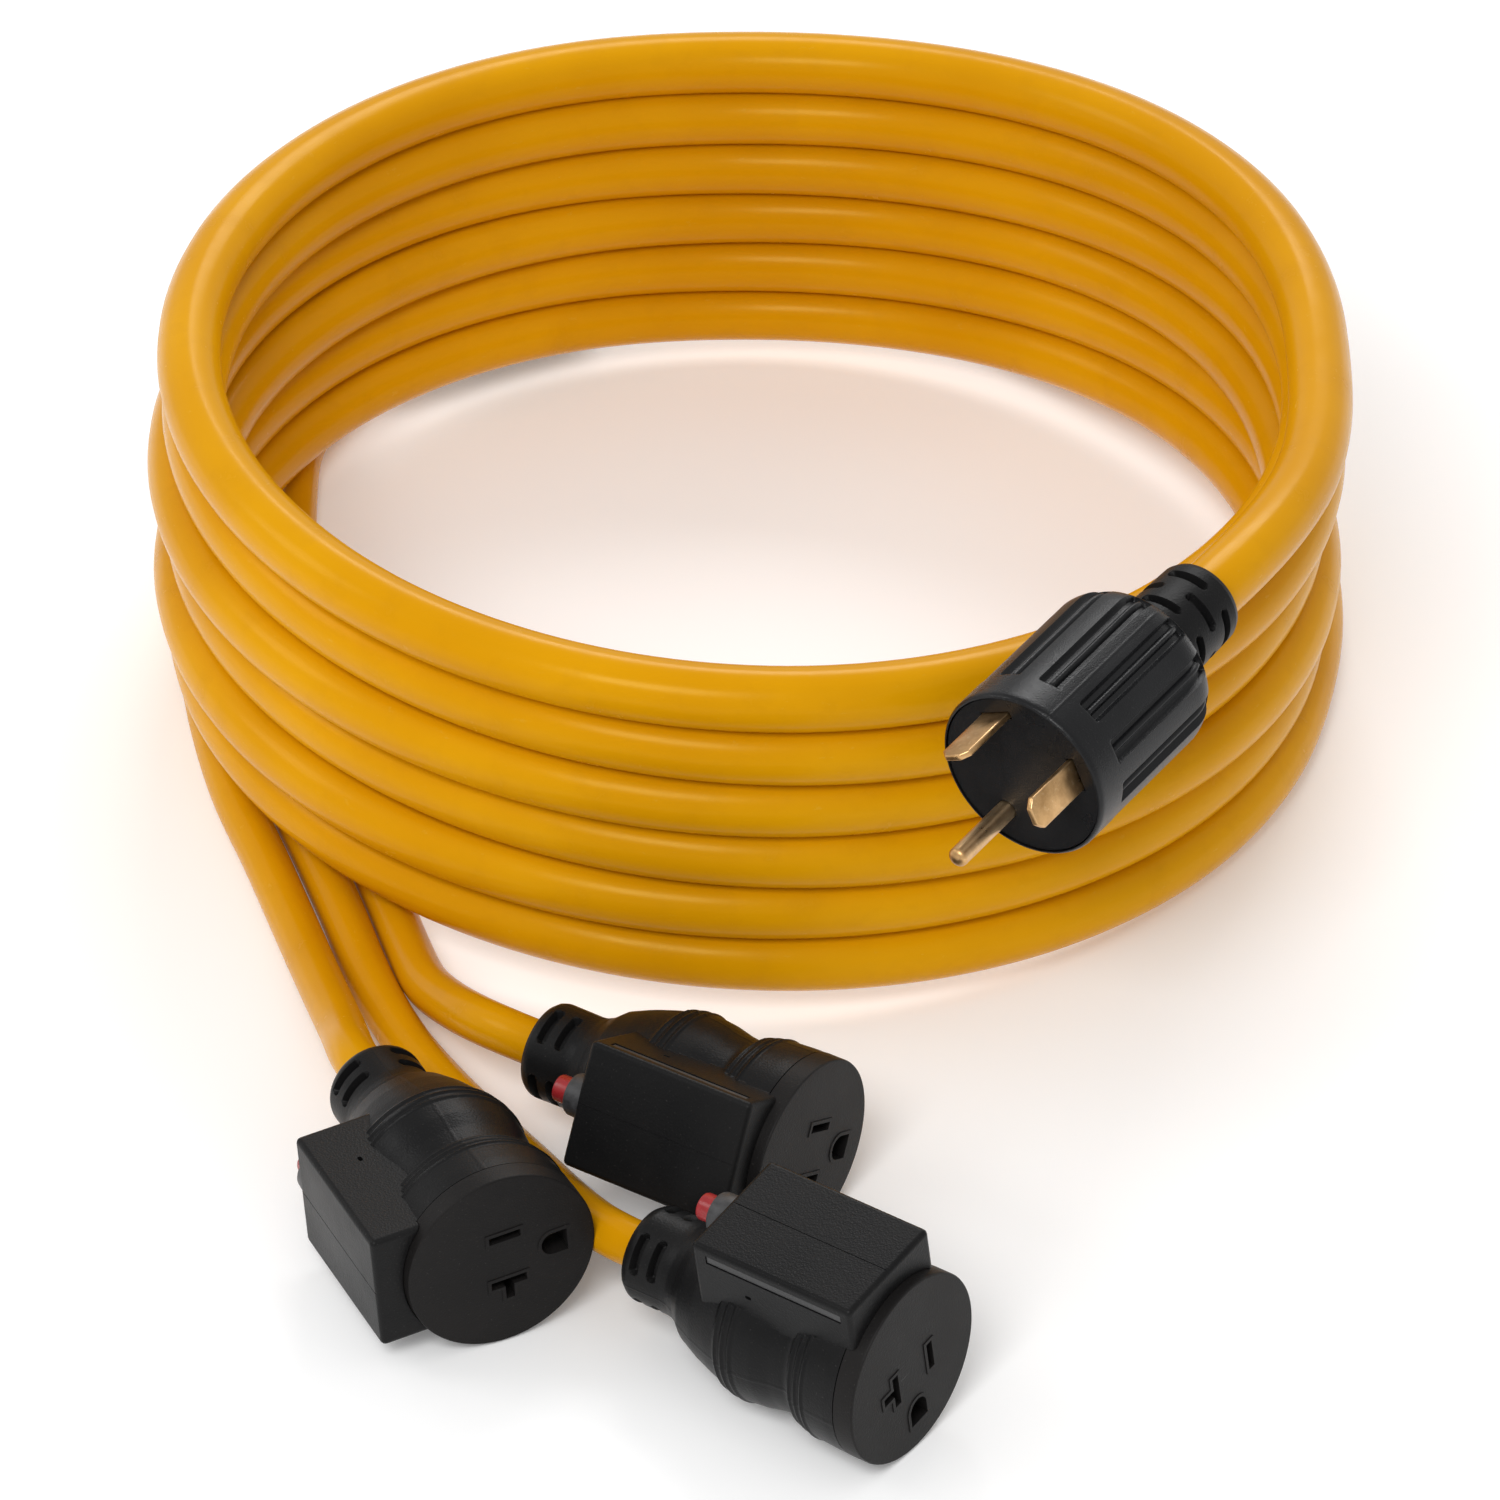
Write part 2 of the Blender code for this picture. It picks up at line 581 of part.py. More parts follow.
def make_face(name, frame):
    """The face: a disc with three openings, and a plug behind it with a pocket for each contact."""
    spigot_r = SHELL_R - 0.0004
    profile = [(0, 0), (FACE_R - 0.0004, 0), (FACE_R, -0.0004), (FACE_R, -FACE_THICK),
               (spigot_r, -FACE_THICK), (spigot_r, -SPIGOT), (0, -SPIGOT)]
    face = add(f"{name}_face", turned_mesh(profile, 36), FACE_GREY, frame)
    for opening, mesh in slot_cutters(SPIGOT + 0.01):
        cut(face, mesh, f"slot_{opening}")
    play = 0.0008
    for contact, x, y, width, thick, between in CONTACTS:
        pocket = (width + play, thick + play, 2 * (SPIGOT - POCKET_TOP))
        cut(face, block_mesh(pocket, (x, y, -SPIGOT)), f"pocket_{contact}")
        leaves = contact_mesh(width - play / 2, between, -SPIGOT + play, -POCKET_TOP - play, (x, y))
        add(f"{name}_contact_{contact}", leaves, BRASS, frame, 0)


def make_breaker(name, frame):
    """The breaker's case, with a well for the button's foot and two terminals on top."""
    play = 0.0005
    low, high = ROOM_LOW + BUTTON_ROOM, ROOM_HIGH - play
    size = (ROOM[0] - 2 * play, ROOM[1] - 2 * play, high - low)
    block = block_mesh(size, (ROOM_X, 0, (low + high) / 2), 0.0008)
    case = add(f"{name}_breaker_case", block, PHENOLIC, frame, 0)
    cut(case, rod_mesh(0.0030, low - 0.001, low + 0.0060, (BUTTON_X, 0), 16), "plunger_well")
    tab = Vector((0.0007, 0.0046, 0.0066))
    x, z = ROOM_X - 0.0035, high + 0.0004 - tab.z / 2
    for terminal, y in (("line", -0.0070), ("load", 0.0070)):
        seat = tab + Vector((GAP, 2 * GAP, GAP + 0.001))
        cut(case, block_mesh(seat, (x, y, z + 0.0002)), f"terminal_seat_{terminal}")
        add(f"{name}_breaker_tab_{terminal}", block_mesh(tab, (x, y, z)), COPPER, frame, 0)
    return low


def make_button(name, frame, spring_end):
    """The red button in its collar. Its parent lies on the slide's axis, where the button leaves the box."""
    inner = BUTTON_R + BORE_PLAY
    edge = 0.0008
    ring = [(inner, -GAP), (COLLAR_R, -GAP), (COLLAR_R, -COLLAR_OUT + edge),
            (COLLAR_R - edge, -COLLAR_OUT), (inner, -COLLAR_OUT), (inner, -GAP)]
    slide = empty(f"{name}_button_axis", Matrix.Identity(4))
    slide.parent = frame
    slide.location = (BUTTON_X, 0, REAR)
    add(f"{name}_button_collar", turned_mesh(ring, 24), COLLAR_GREY, slide)
    tip, shoulder, foot, foot_r = -COLLAR_OUT - BUTTON_OUT, 0.0030, 0.0060, 0.0018
    outline = [(0, foot), (foot_r, foot), (foot_r, shoulder), (BUTTON_R, shoulder), (BUTTON_R, tip + 0.0006),
               (BUTTON_R - 0.0006, tip), (0, tip)]
    add(f"{name}_reset_button", turned_mesh(outline, 24), RED, slide)

    wire, radius, coils, per_turn = 0.0003, 0.0025, 2.5, 8
    start = shoulder + BUTTON_TRAVEL + 0.0004 + wire
    end = spring_end - REAR - 0.0004 - wire
    count = round(coils * per_turn)
    helix = []
    for i in range(count + 1):
        angle = math.tau * i / per_turn
        height = start + (end - start) * i / count
        helix.append(Vector((radius * math.cos(angle), radius * math.sin(angle), height)))
    add(f"{name}_button_spring", tube_mesh(helix, wire, 1), STEEL, slide)


def make_outlet(key):
    name = f"outlet_{key}"
    frame = empty(f"{name}_frame", outlet_matrix(key))
    make_body(name, frame)
    make_face(name, frame)
    make_button(name, frame, make_breaker(name, frame))


# ---------------------------------------------------------------- splitter


def half_block(sign, name, frame):
    """Half of the splitter's case: split along its middle plane, with room for the crimps."""
    thick = SPLIT_SIZE.z / 2
    size = (SPLIT_SIZE.y, thick - GAP / 2, SPLIT_SIZE.x)
    centre = (0, sign * (thick / 2 + GAP / 4), -SPLIT_SIZE.x / 2)
    half = add(name, block_mesh(size, centre, 0.0016, 2), BLACK, frame)
    room = block_mesh((SPLIT_SIZE.y - 0.008, 0.0096, SPLIT_SIZE.x - 0.014), (0, 0, -SPLIT_SIZE.x / 2))
    cut(half, room, "crimp_room")
    return half


def make_splitter():
    frame = empty("splitter_frame", splitter_matrix())
    half_block(-1, "splitter_upper_shell", frame)
    half_block(1, "splitter_lower_shell", frame)
    boot = block_mesh((SPLIT_SIZE.y - 0.001, 0.0136, SNOUT - GAP), (0, 0, (SNOUT + GAP) / 2), 0.0018, 2)
    add("splitter_tail_boot", boot, BLACK, frame)
    back = -SPLIT_SIZE.x
    snout = rod_mesh(0.0086, back - TRUNK_SNOUT, back - GAP, sides=20, radius_high=0.0089)
    add("splitter_trunk_snout", snout, BLACK, frame)
    for i, name in enumerate(("hot", "neutral", "ground")):
        crimp = rod_mesh(0.0036, -0.030, -0.012, ((i - 1) * 0.0090, 0), 14)
        add(f"splitter_crimp_{name}", crimp, COPPER, frame)


make_coil()
make_leads()
make_tails()
make_plug()
for outlet_key in OUTLETS:
    make_outlet(outlet_key)
make_splitter()
bpy.context.view_layer.update()
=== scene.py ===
"""Looks of the shore power cord: the cords, the moulded plug, the three breaker outlets and the splitter."""

import math

import bmesh
import bpy
import numpy as np
from mathutils import Matrix, Vector
from mathutils.geometry import interpolate_bezier


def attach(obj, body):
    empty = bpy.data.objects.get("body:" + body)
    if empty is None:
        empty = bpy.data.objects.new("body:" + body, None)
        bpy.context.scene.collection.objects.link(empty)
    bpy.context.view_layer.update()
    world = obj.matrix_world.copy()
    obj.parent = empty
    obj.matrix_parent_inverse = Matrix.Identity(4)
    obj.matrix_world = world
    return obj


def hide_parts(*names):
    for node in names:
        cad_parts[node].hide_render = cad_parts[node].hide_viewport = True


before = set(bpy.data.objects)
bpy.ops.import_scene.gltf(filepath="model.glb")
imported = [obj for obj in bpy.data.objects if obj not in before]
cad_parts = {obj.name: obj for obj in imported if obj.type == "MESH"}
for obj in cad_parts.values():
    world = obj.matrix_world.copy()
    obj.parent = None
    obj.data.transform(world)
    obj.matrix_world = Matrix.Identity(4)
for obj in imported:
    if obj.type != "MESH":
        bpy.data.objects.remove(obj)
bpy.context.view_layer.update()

MM = 0.001

# ------------------------------------------------------------ sizes and places

MAIN_D = 0.0150
TAIL_D = 0.0108
COIL_XY = Vector((-0.00421, 0.06401, 0.0))
COIL_R = 0.1341
TURNS = 6
LIFT = 0.0138                                   # of the coil's left side, which lies on the tails
LIFT_AT = math.radians(190)
DROP_FROM, DROP_TO = math.radians(15), math.radians(100)    # where each turn steps down to the next
BEND_OUT_FROM, BEND_OUT_TO = math.radians(-15), math.radians(50)
BEND_OUT = 0.0156                               # of the last turn, where it leaves the coil
RAMP_FROM = math.radians(4) / math.tau          # in turns: where the plug's lead joins the coil
EXIT_TO = TURNS + math.radians(46) / math.tau   # in turns: where the cord leaves the coil
STRAIGHT = 0.007                                # of a cord, next to the mould that it enters

PLUG_FACE = Vector((0.0602, -0.1752, 0.0998))
PLUG_AZIMUTH = math.radians(-124.7)
PLUG_TILT = math.radians(-3)
PLUG_ROLL = math.radians(70)
PLUG_R = 0.0212
PLUG_LENGTH = 0.074
BLADE = Vector((0.0016, 0.0080, 0.0172))        # thick, wide, long
BLADE_RING_R = 0.0155
BLADE_SPREAD = math.radians(46)
PIN_R = 0.00238
PIN_LENGTH = 0.0205
PIN_RING_R = 0.0130
BLADE_ROOT = -0.004                             # the blades' and the pin's inner end, from the face

# each outlet's face centre from the coil's, and its azimuth, tilt and roll in degrees
OUTLETS = {
    "a": (Vector((-0.0552, -0.2514, 0.0228)), -64.7, 1.8, 3.3),
    "b": (Vector((0.0351, -0.2882, 0.0228)), -36.6, 1.8, -82.0),
    "c": (Vector((0.0133, -0.2144, 0.0228)), -33.5, 1.0, -26.5),
}
OUTLET_LENGTH = 0.072
FACE_R = 0.0226
FACE_THICK = 0.0050
BOX_FRONT = 0.0027
BOX_LENGTH = 0.0430
BOX_WIDTH = 0.0298
BOX_TOP = 0.0292
BLADES_X = -0.0011
SLOT_APART = 0.0127
GROUND_X = BLADES_X - 0.0119
BUTTON_X = BOX_TOP - 0.0056
BUTTON_R = 0.0032
BUTTON_OUT = 0.0040
COLLAR_R = 0.0050
COLLAR_OUT = 0.0042
REAR = -BOX_FRONT - BOX_LENGTH
BOX_MIDDLE = -BOX_FRONT - BOX_LENGTH / 2

SPLIT_FRONT = Vector((-0.0838, 0.1423, 0.0090))
SPLIT_AZIMUTH = math.radians(208)
SPLIT_SIZE = Vector((0.042, 0.037, 0.018))
SNOUT = 0.012
TAIL_APART = 0.0120
TRUNK_SNOUT = 0.018

# points of the cords' centre lines, in millimetres from the coil's centre
PLUG_LEAD = [
    (111.5, -101.5, 104.4), (121.5, -83, 103.6), (129.5, -61, 101.8), (133.6, -34, 99.8), (134.2, -10, 98.4),
]
TRUNK = [
    (86, 126, 7.5), (65, 146, 7.5), (47.5, 159, 7.5), (29.5, 169.2, 7.7), (14, 175.4, 8.0), (-2, 177.6, 8.4),
    (-17, 175.8, 8.8),
]
TAILS = {
    "a": [(-119, 130.5, 6.0), (-131, 109.5, 5.4), (-135.6, 84, 5.4), (-135.9, 52, 5.4), (-135.2, 18, 5.4),
          (-132, -18, 5.4), (-124.3, -55, 5.4), (-114.8, -84, 5.4), (-108, -106, 5.6), (-100.5, -133, 8.6),
          (-94, -158, 13.6)],
    "b": [(-110, 121, 6.2), (-119.6, 104, 5.4), (-124.2, 84, 5.4), (-124.6, 52, 5.4), (-123.9, 18, 5.4),
          (-120.6, -17, 5.4), (-113, -52, 5.4), (-103.6, -80.5, 5.4), (-96.6, -102.5, 5.4),
          (-88.2, -131, 5.4), (-80, -151.5, 5.4), (-71.6, -167, 5.8), (-60.5, -185, 7.0),
          (-48.5, -205, 9.8), (-38.5, -224, 14.2)],
    "c": [(-100.1, 113.5, 6.2), (-108, 99, 5.4), (-112.8, 84, 5.4), (-113.3, 52, 5.4), (-112.5, 18, 5.4),
          (-109, -16, 5.4), (-101.4, -50, 5.4), (-92.4, -77.5, 5.4), (-84.8, -102, 5.4), (-79.5, -121, 6.2),
          (-73.5, -140, 10.2)],
}


def ease(t):
    t = min(max(t, 0.0), 1.0)
    return t * t * (3 - 2 * t)


def lift(angle):
    """How far the coil is raised at this angle, because it lies on the tails."""
    return LIFT * (1 + math.cos(angle - LIFT_AT)) / 2


def coil_point(turn):
    """The cord's centre after this many turns, counted from where the first passes the +X side."""
    angle = math.tau * turn
    within = angle % math.tau
    layer = math.floor(turn) + ease((within - DROP_FROM) / (DROP_TO - DROP_FROM))
    out = BEND_OUT * ease((angle - TURNS * math.tau - BEND_OUT_FROM) / (BEND_OUT_TO - BEND_OUT_FROM))
    height = (TURNS + 0.5 - min(layer, TURNS)) * MAIN_D
    raised = lift(angle) * (1 - out / BEND_OUT)
    radius = COIL_R + out
    return COIL_XY + Vector((radius * math.cos(angle), radius * math.sin(angle), height + raised))


def in_coil_frame(x, y, z):
    """Millimetres from the coil's centre, in metres."""
    return COIL_XY + Vector((x, y, z)) * MM


def direction(azimuth, tilt):
    return Vector((math.cos(tilt) * math.cos(azimuth), math.cos(tilt) * math.sin(azimuth), math.sin(tilt)))


def frame_matrix(origin, azimuth, tilt, roll):
    """+Z out of the face, +X away from the ground contact."""
    z = direction(azimuth, tilt)
    side = Vector((-math.sin(azimuth), math.cos(azimuth), 0))
    x = -(math.cos(roll) * side + math.sin(roll) * z.cross(side))
    matrix = Matrix((x, z.cross(x), z)).transposed().to_4x4()
    matrix.translation = origin
    return matrix


PLUG = frame_matrix(COIL_XY + PLUG_FACE, PLUG_AZIMUTH, PLUG_TILT, math.pi + PLUG_ROLL)
OUTLET = {
    key: frame_matrix(COIL_XY + place, *(math.radians(angle) for angle in angles))
    for key, (place, *angles) in OUTLETS.items()
}
SPLITTER = frame_matrix(COIL_XY + SPLIT_FRONT, SPLIT_AZIMUTH, 0.0, 0.0)


BEZIER_STEPS = 24    # between two points of a route
ROUTE_STEP = 0.003   # between two points of a smoothed route


def smooth_route(points, ends):
    """Points at even steps along a smooth curve through the given ones, its end directions given."""
    points = [Vector(p) for p in points]
    slopes = []
    for i in range(len(points)):
        before, after = points[max(i - 1, 0)], points[min(i + 1, len(points) - 1)]
        slopes.append((after - before).normalized())
    slopes[0], slopes[-1] = (Vector(end).normalized() for end in ends)
    fine = [points[0]]
    for i in range(len(points) - 1):
        reach = (points[i + 1] - points[i]).length / 3
        fine += interpolate_bezier(
            points[i],
            points[i] + slopes[i] * reach,
            points[i + 1] - slopes[i + 1] * reach,
            points[i + 1],
            BEZIER_STEPS,
        )[1:]
    return evenly(fine, ROUTE_STEP)


def evenly(fine, step):
    """The line through these points again, with a point every step or so."""
    fine = np.array([tuple(p) for p in fine])
    walked = np.concatenate([[0], np.cumsum(np.linalg.norm(np.diff(fine, axis=0), axis=1))])
    wanted = np.linspace(0, walked[-1], max(3, round(walked[-1] / step) + 1))
    return [Vector([np.interp(w, walked, fine[:, i]) for i in range(3)]) for w in wanted]


def relaxed(points, passes):
    """The line with its kinks eased, its ends kept."""
    line = np.array([tuple(p) for p in points])
    for _ in range(passes):
        line[2:-2] = 0.5 * line[2:-2] + 0.25 * (line[1:-3] + line[3:-1])
    return [Vector(p) for p in line]


# ------------------------------------------------------------ camera, light and floor

CAMERA_FROM_COIL = Vector((-0.00036, -1.8775, 1.3897))
CAMERA_TILT = math.radians(53.0)    # up from straight down
CAMERA_LENS = 229.96                # millimetres, on a 36 mm sensor
WORLD_STRENGTH = 0.52
EXPOSURE = 0.28
FLOOR_GLOW = 0.11
FLOOR_HALF = 6
FLOOR_Z = -0.0002
LIGHT_TARGET = Vector((0, 0, 0.03))
LIGHTS = {    # place, size and power
    "key": ((-0.35, -1.2, 1.35), (0.7, 0.5), 11.0),
    "back": ((0.25, 1.3, 1.25), (0.9, 0.5), 8.5),
    "side": ((-1.3, 0.1, 0.9), (0.5, 0.5), 2.2),
}


def make_camera():
    data = bpy.data.cameras.new("camera")
    data.lens, data.sensor_width = CAMERA_LENS, 36
    data.clip_start, data.clip_end = 0.1, 30
    camera = bpy.data.objects.new("camera", data)
    camera.location = COIL_XY + CAMERA_FROM_COIL
    camera.rotation_euler = (CAMERA_TILT, 0, 0)
    bpy.context.collection.objects.link(camera)
    bpy.context.scene.camera = camera


def make_area_light(name, place, size, power):
    data = bpy.data.lights.new(name, "AREA")
    data.shape, data.size, data.size_y, data.energy = "RECTANGLE", *size, power
    light = bpy.data.objects.new(name, data)
    light.location = place
    light.rotation_euler = (LIGHT_TARGET - Vector(place)).to_track_quat("-Z", "Y").to_euler()
    bpy.context.collection.objects.link(light)


def make_stage():
    bm = bmesh.new()
    bmesh.ops.create_grid(bm, x_segments=1, y_segments=1, size=FLOOR_HALF)
    floor = link("floor", finished(bm, "floor"))
    floor.location.z = FLOOR_Z
    floor.data.materials.append(floor_material())
    world = bpy.data.worlds.new("studio")
    bpy.context.scene.world = world
    world.use_nodes = True
    sky = world.node_tree.nodes["Background"]
    sky.inputs["Color"].default_value = (1, 1, 1, 1)
    sky.inputs["Strength"].default_value = WORLD_STRENGTH
    for name, (place, size, power) in LIGHTS.items():
        make_area_light(name, place, size, power)
    settings = bpy.context.scene.view_settings
    settings.view_transform, settings.exposure = "Standard", EXPOSURE


# ------------------------------------------------------------ mesh helpers


def link(name, data):
    obj = bpy.data.objects.new(name, data)
    bpy.context.collection.objects.link(obj)
    return obj


def finished(bm, name):
    mesh = bpy.data.meshes.new(name)
    bm.to_mesh(mesh)
    bm.free()
    return mesh


def block_mesh(size, centre=(0, 0, 0), bevel=0.0, segments=3):
    """A box of this size, its edges rounded."""
    bm = bmesh.new()
    bmesh.ops.create_cube(bm, size=1)
    bmesh.ops.scale(bm, vec=size, verts=bm.verts)
    if bevel:
        bmesh.ops.bevel(bm, geom=bm.edges, offset=bevel, segments=segments, profile=0.5, affect="EDGES")
    bmesh.ops.translate(bm, vec=centre, verts=bm.verts)
    return finished(bm, "block")


def rod_mesh(radius, low, high, at=(0, 0), sides=48):
    bm = bmesh.new()
    bmesh.ops.create_cone(
        bm, cap_ends=True, segments=sides, radius1=radius, radius2=radius, depth=high - low
    )
    bmesh.ops.translate(bm, vec=(at[0], at[1], (low + high) / 2), verts=bm.verts)
    return finished(bm, "rod")


def polar_mesh(heights, sides, radius_at):
    """A closed solid about Z: radius_at(theta, z) gives its radius on a grid, top first."""
    theta = np.arange(sides) * math.tau / sides
    z = np.asarray(heights, float)
    grid_t, grid_z = np.meshgrid(theta, z)
    radius = radius_at(grid_t, grid_z)
    points = np.stack([radius * np.cos(grid_t), radius * np.sin(grid_t), grid_z], axis=-1).reshape(-1, 3)
    ring = np.arange(sides)
    along = (ring + 1) % sides
    faces = []
    for row in range(len(z) - 1):
        top, low = row * sides, (row + 1) * sides
        faces += [(top + a, low + a, low + b, top + b) for a, b in zip(ring.tolist(), along.tolist())]
    faces.append(tuple(range(sides)))
    faces.append(tuple(reversed(range((len(z) - 1) * sides, len(z) * sides))))
    mesh = bpy.data.meshes.new("turned")
    mesh.from_pydata(points.tolist(), [], faces)
    return mesh


def turned_mesh(profile, sides):
    """(radius, z) points turned about Z, top first. Ends at radius 0 are closed."""
    mesh = bpy.data.meshes.new("profile")
    mesh.from_pydata([(r, 0, z) for r, z in profile], [(i, i + 1) for i in range(len(profile) - 1)], [])
    obj = link("profile", mesh)
    screw = obj.modifiers.new("Screw", "SCREW")
    screw.steps = screw.render_steps = sides
    screw.use_merge_vertices = True
    screw.merge_threshold = 0.00001
    return baked(obj)


def baked(obj):
    """The object's evaluated mesh on its own, and the object removed."""
    graph = bpy.context.evaluated_depsgraph_get()
    mesh = bpy.data.meshes.new_from_object(obj.evaluated_get(graph))
    bpy.data.objects.remove(obj)
    return mesh


def combined(base, others, operation="DIFFERENCE"):
    """The base mesh with the others cut away or joined on."""
    obj = link("base", base)
    extras = []
    for other in others:
        extra = link("extra", other)
        boolean = obj.modifiers.new("boolean", "BOOLEAN")
        boolean.operation, boolean.solver, boolean.object = operation, "EXACT", extra
        extras.append(extra)
    mesh = baked(obj)
    for extra in extras:
        bpy.data.objects.remove(extra)
    return mesh


def bevelled(mesh, width, segments=2, angle=35):
    """The mesh with its edges rounded where they are sharper than this angle."""
    obj = link("base", mesh)
    bevel = obj.modifiers.new("Bevel", "BEVEL")
    bevel.width, bevel.segments = width, segments
    bevel.limit_method, bevel.angle_limit = "ANGLE", math.radians(angle)
    bevel.use_clamp_overlap = True
    return baked(obj)


def moved(mesh, matrix):
    mesh.transform(matrix)
    return mesh


def piece(name, mesh, matrix, material, body="root", replaces=(), smooth=35, flat_faces=False):
    """A piece of the object: its mesh is given in the matrix's frame, smooth up to this angle."""
    mesh = mesh.copy()
    mesh.transform(matrix)
    mesh.name = name
    mesh.materials.clear()
    mesh.materials.append(material)
    mesh.shade_smooth()
    mesh.set_sharp_from_angle(angle=math.radians(smooth))
    obj = link(name, mesh)
    if flat_faces:
        weighted = obj.modifiers.new("Weighted Normal", "WEIGHTED_NORMAL")
        weighted.keep_sharp, weighted.weight = True, 100
    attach(obj, body)
    if replaces:
        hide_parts(*replaces)
    return obj


def step_down(x, edge, width):
    """1 below the edge and 0 above it, with a soft corner this wide."""
    t = np.clip((edge - x) / width + 0.5, 0, 1)
    return t * t * (3 - 2 * t)


def band(x, low, high, width):
    """1 between low and high and 0 outside them, with soft corners."""
    return step_down(x, high, width) * (1 - step_down(x, low, width))


def wrapped(theta, centre, period):
    """The signed angle from the nearest of the centres that repeat every period."""
    return (theta - centre + period / 2) % period - period / 2


# ------------------------------------------------------------ materials


class Nodes:
    """Shorthand for building a material's nodes."""

    def __init__(self, name):
        self.material = bpy.data.materials.new(name)
        self.material.use_nodes = True
        self.tree = self.material.node_tree
        self.shader = self.tree.nodes["Principled BSDF"]
        self.place = self.add("ShaderNodeTexCoord").outputs["Object"]

    def add(self, kind, **settings):
        node = self.tree.nodes.new(kind)
        for key, value in settings.items():
            setattr(node, key, value)
        return node

    def put(self, socket, value):
        if isinstance(value, bpy.types.NodeSocket):
            self.tree.links.new(value, socket)
        else:
            socket.default_value = value

    def noise(self, scale, detail=3.0, roughness=0.5, vector=None):
        node = self.add("ShaderNodeTexNoise")
        self.put(node.inputs["Vector"], vector or self.place)
        self.put(node.inputs["Scale"], scale)
        self.put(node.inputs["Detail"], detail)
        self.put(node.inputs["Roughness"], roughness)
        return node.outputs["Fac"]

    def cells(self, scale):
        node = self.add("ShaderNodeTexVoronoi", feature="F1")
        self.put(node.inputs["Vector"], self.place)
        self.put(node.inputs["Scale"], scale)
        return node.outputs["Distance"]

    def stretched(self, scale):
        node = self.add("ShaderNodeMapping")
        self.put(node.inputs["Vector"], self.place)
        self.put(node.inputs["Scale"], scale)
        return node.outputs["Vector"]

    def span(self, value, low, high, to_low=0.0, to_high=1.0):
        """The value, mapped from low..high to to_low..to_high."""
        node = self.add("ShaderNodeMapRange", interpolation_type="LINEAR")
        for socket, number in zip(node.inputs[:5], (value, low, high, to_low, to_high)):
            self.put(socket, number)
        return node.outputs["Result"]

    def mix(self, factor, a, b):
        node = self.add("ShaderNodeMix", data_type="RGBA")
        self.put(node.inputs["Factor"], factor)
        self.put(node.inputs["A"], a if isinstance(a, bpy.types.NodeSocket) else (*a, 1))
        self.put(node.inputs["B"], b if isinstance(b, bpy.types.NodeSocket) else (*b, 1))
        return next(o for o in node.outputs if o.type == "RGBA")

    def maths(self, operation, a, b):
        node = self.add("ShaderNodeMath", operation=operation)
        self.put(node.inputs[0], a)
        self.put(node.inputs[1], b)
        return node.outputs[0]

    def bump(self, height, strength, distance):
        node = self.add("ShaderNodeBump")
        self.put(node.inputs["Strength"], strength)
        self.put(node.inputs["Distance"], distance)
        self.put(node.inputs["Height"], height)
        return node.outputs["Normal"]

    def edges(self, low, high):
        """1 on convex edges, from the mesh's pointiness."""
        pointy = self.add("ShaderNodeNewGeometry").outputs["Pointiness"]
        return self.span(pointy, low, high)

    def set(self, **values):
        """Values or sockets for the shader's inputs, and the finished material."""
        for key, value in values.items():
            self.put(self.shader.inputs[key.replace("_", " ")], value)
        return self.material


def floor_material():
    n = Nodes("floor_paper")
    tone = n.span(n.noise(2.0), 0.35, 0.65)
    colour = n.mix(tone, (0.90, 0.90, 0.90), (0.93, 0.93, 0.93))
    normal = n.bump(n.noise(900.0, 2.0), 0.03, 0.0002)
    return n.set(
        Base_Color=colour, Roughness=0.85, Specular_IOR_Level=0.2, Normal=normal,
        Emission_Color=(1, 1, 1, 1), Emission_Strength=FLOOR_GLOW,
    )


def jacket_material():
    """Golden PVC with a soft gloss, slow drifts of tone, fine pores and a few dusty scuffs."""
    n = Nodes("jacket_yellow")
    drift = n.noise(14.0, 3.0)
    cloud = n.noise(90.0, 4.0, 0.6)
    speck = n.noise(1500.0, 2.0)
    colour = n.mix(n.span(drift, 0.35, 0.65), (0.62, 0.272, 0.001), (0.69, 0.322, 0.002))
    colour = n.mix(n.span(cloud, 0.52, 0.75, 0.0, 0.35), colour, (0.56, 0.245, 0.002))
    scuff = n.span(n.noise(220.0, 5.0, 0.7, n.stretched((1, 1, 3.0))), 0.64, 0.76, 0.0, 0.22)
    colour = n.mix(scuff, colour, (0.62, 0.40, 0.07))
    pore = n.span(n.cells(420.0), 0.0, 0.09, 1.0, 0.0)
    rare = n.span(n.noise(60.0, 1.0), 0.58, 0.62)
    pores = n.maths("MULTIPLY", pore, rare)
    colour = n.mix(n.maths("MULTIPLY", pores, 0.12), colour, (0.36, 0.15, 0.003))
    rough = n.span(cloud, 0.3, 0.7, 0.20, 0.28)
    rough = n.maths("ADD", rough, n.maths("MULTIPLY", scuff, 0.5))
    height = n.maths("ADD", n.maths("MULTIPLY", speck, 0.25), n.noise(160.0, 2.0))
    height = n.maths("SUBTRACT", height, n.maths("MULTIPLY", pores, 0.3))
    normal = n.bump(height, 0.12, 0.0004)
    return n.set(
        Base_Color=colour, Roughness=rough, Normal=normal, Specular_IOR_Level=0.16,
        Specular_Tint=(1.0, 0.86, 0.30, 1.0),
    )


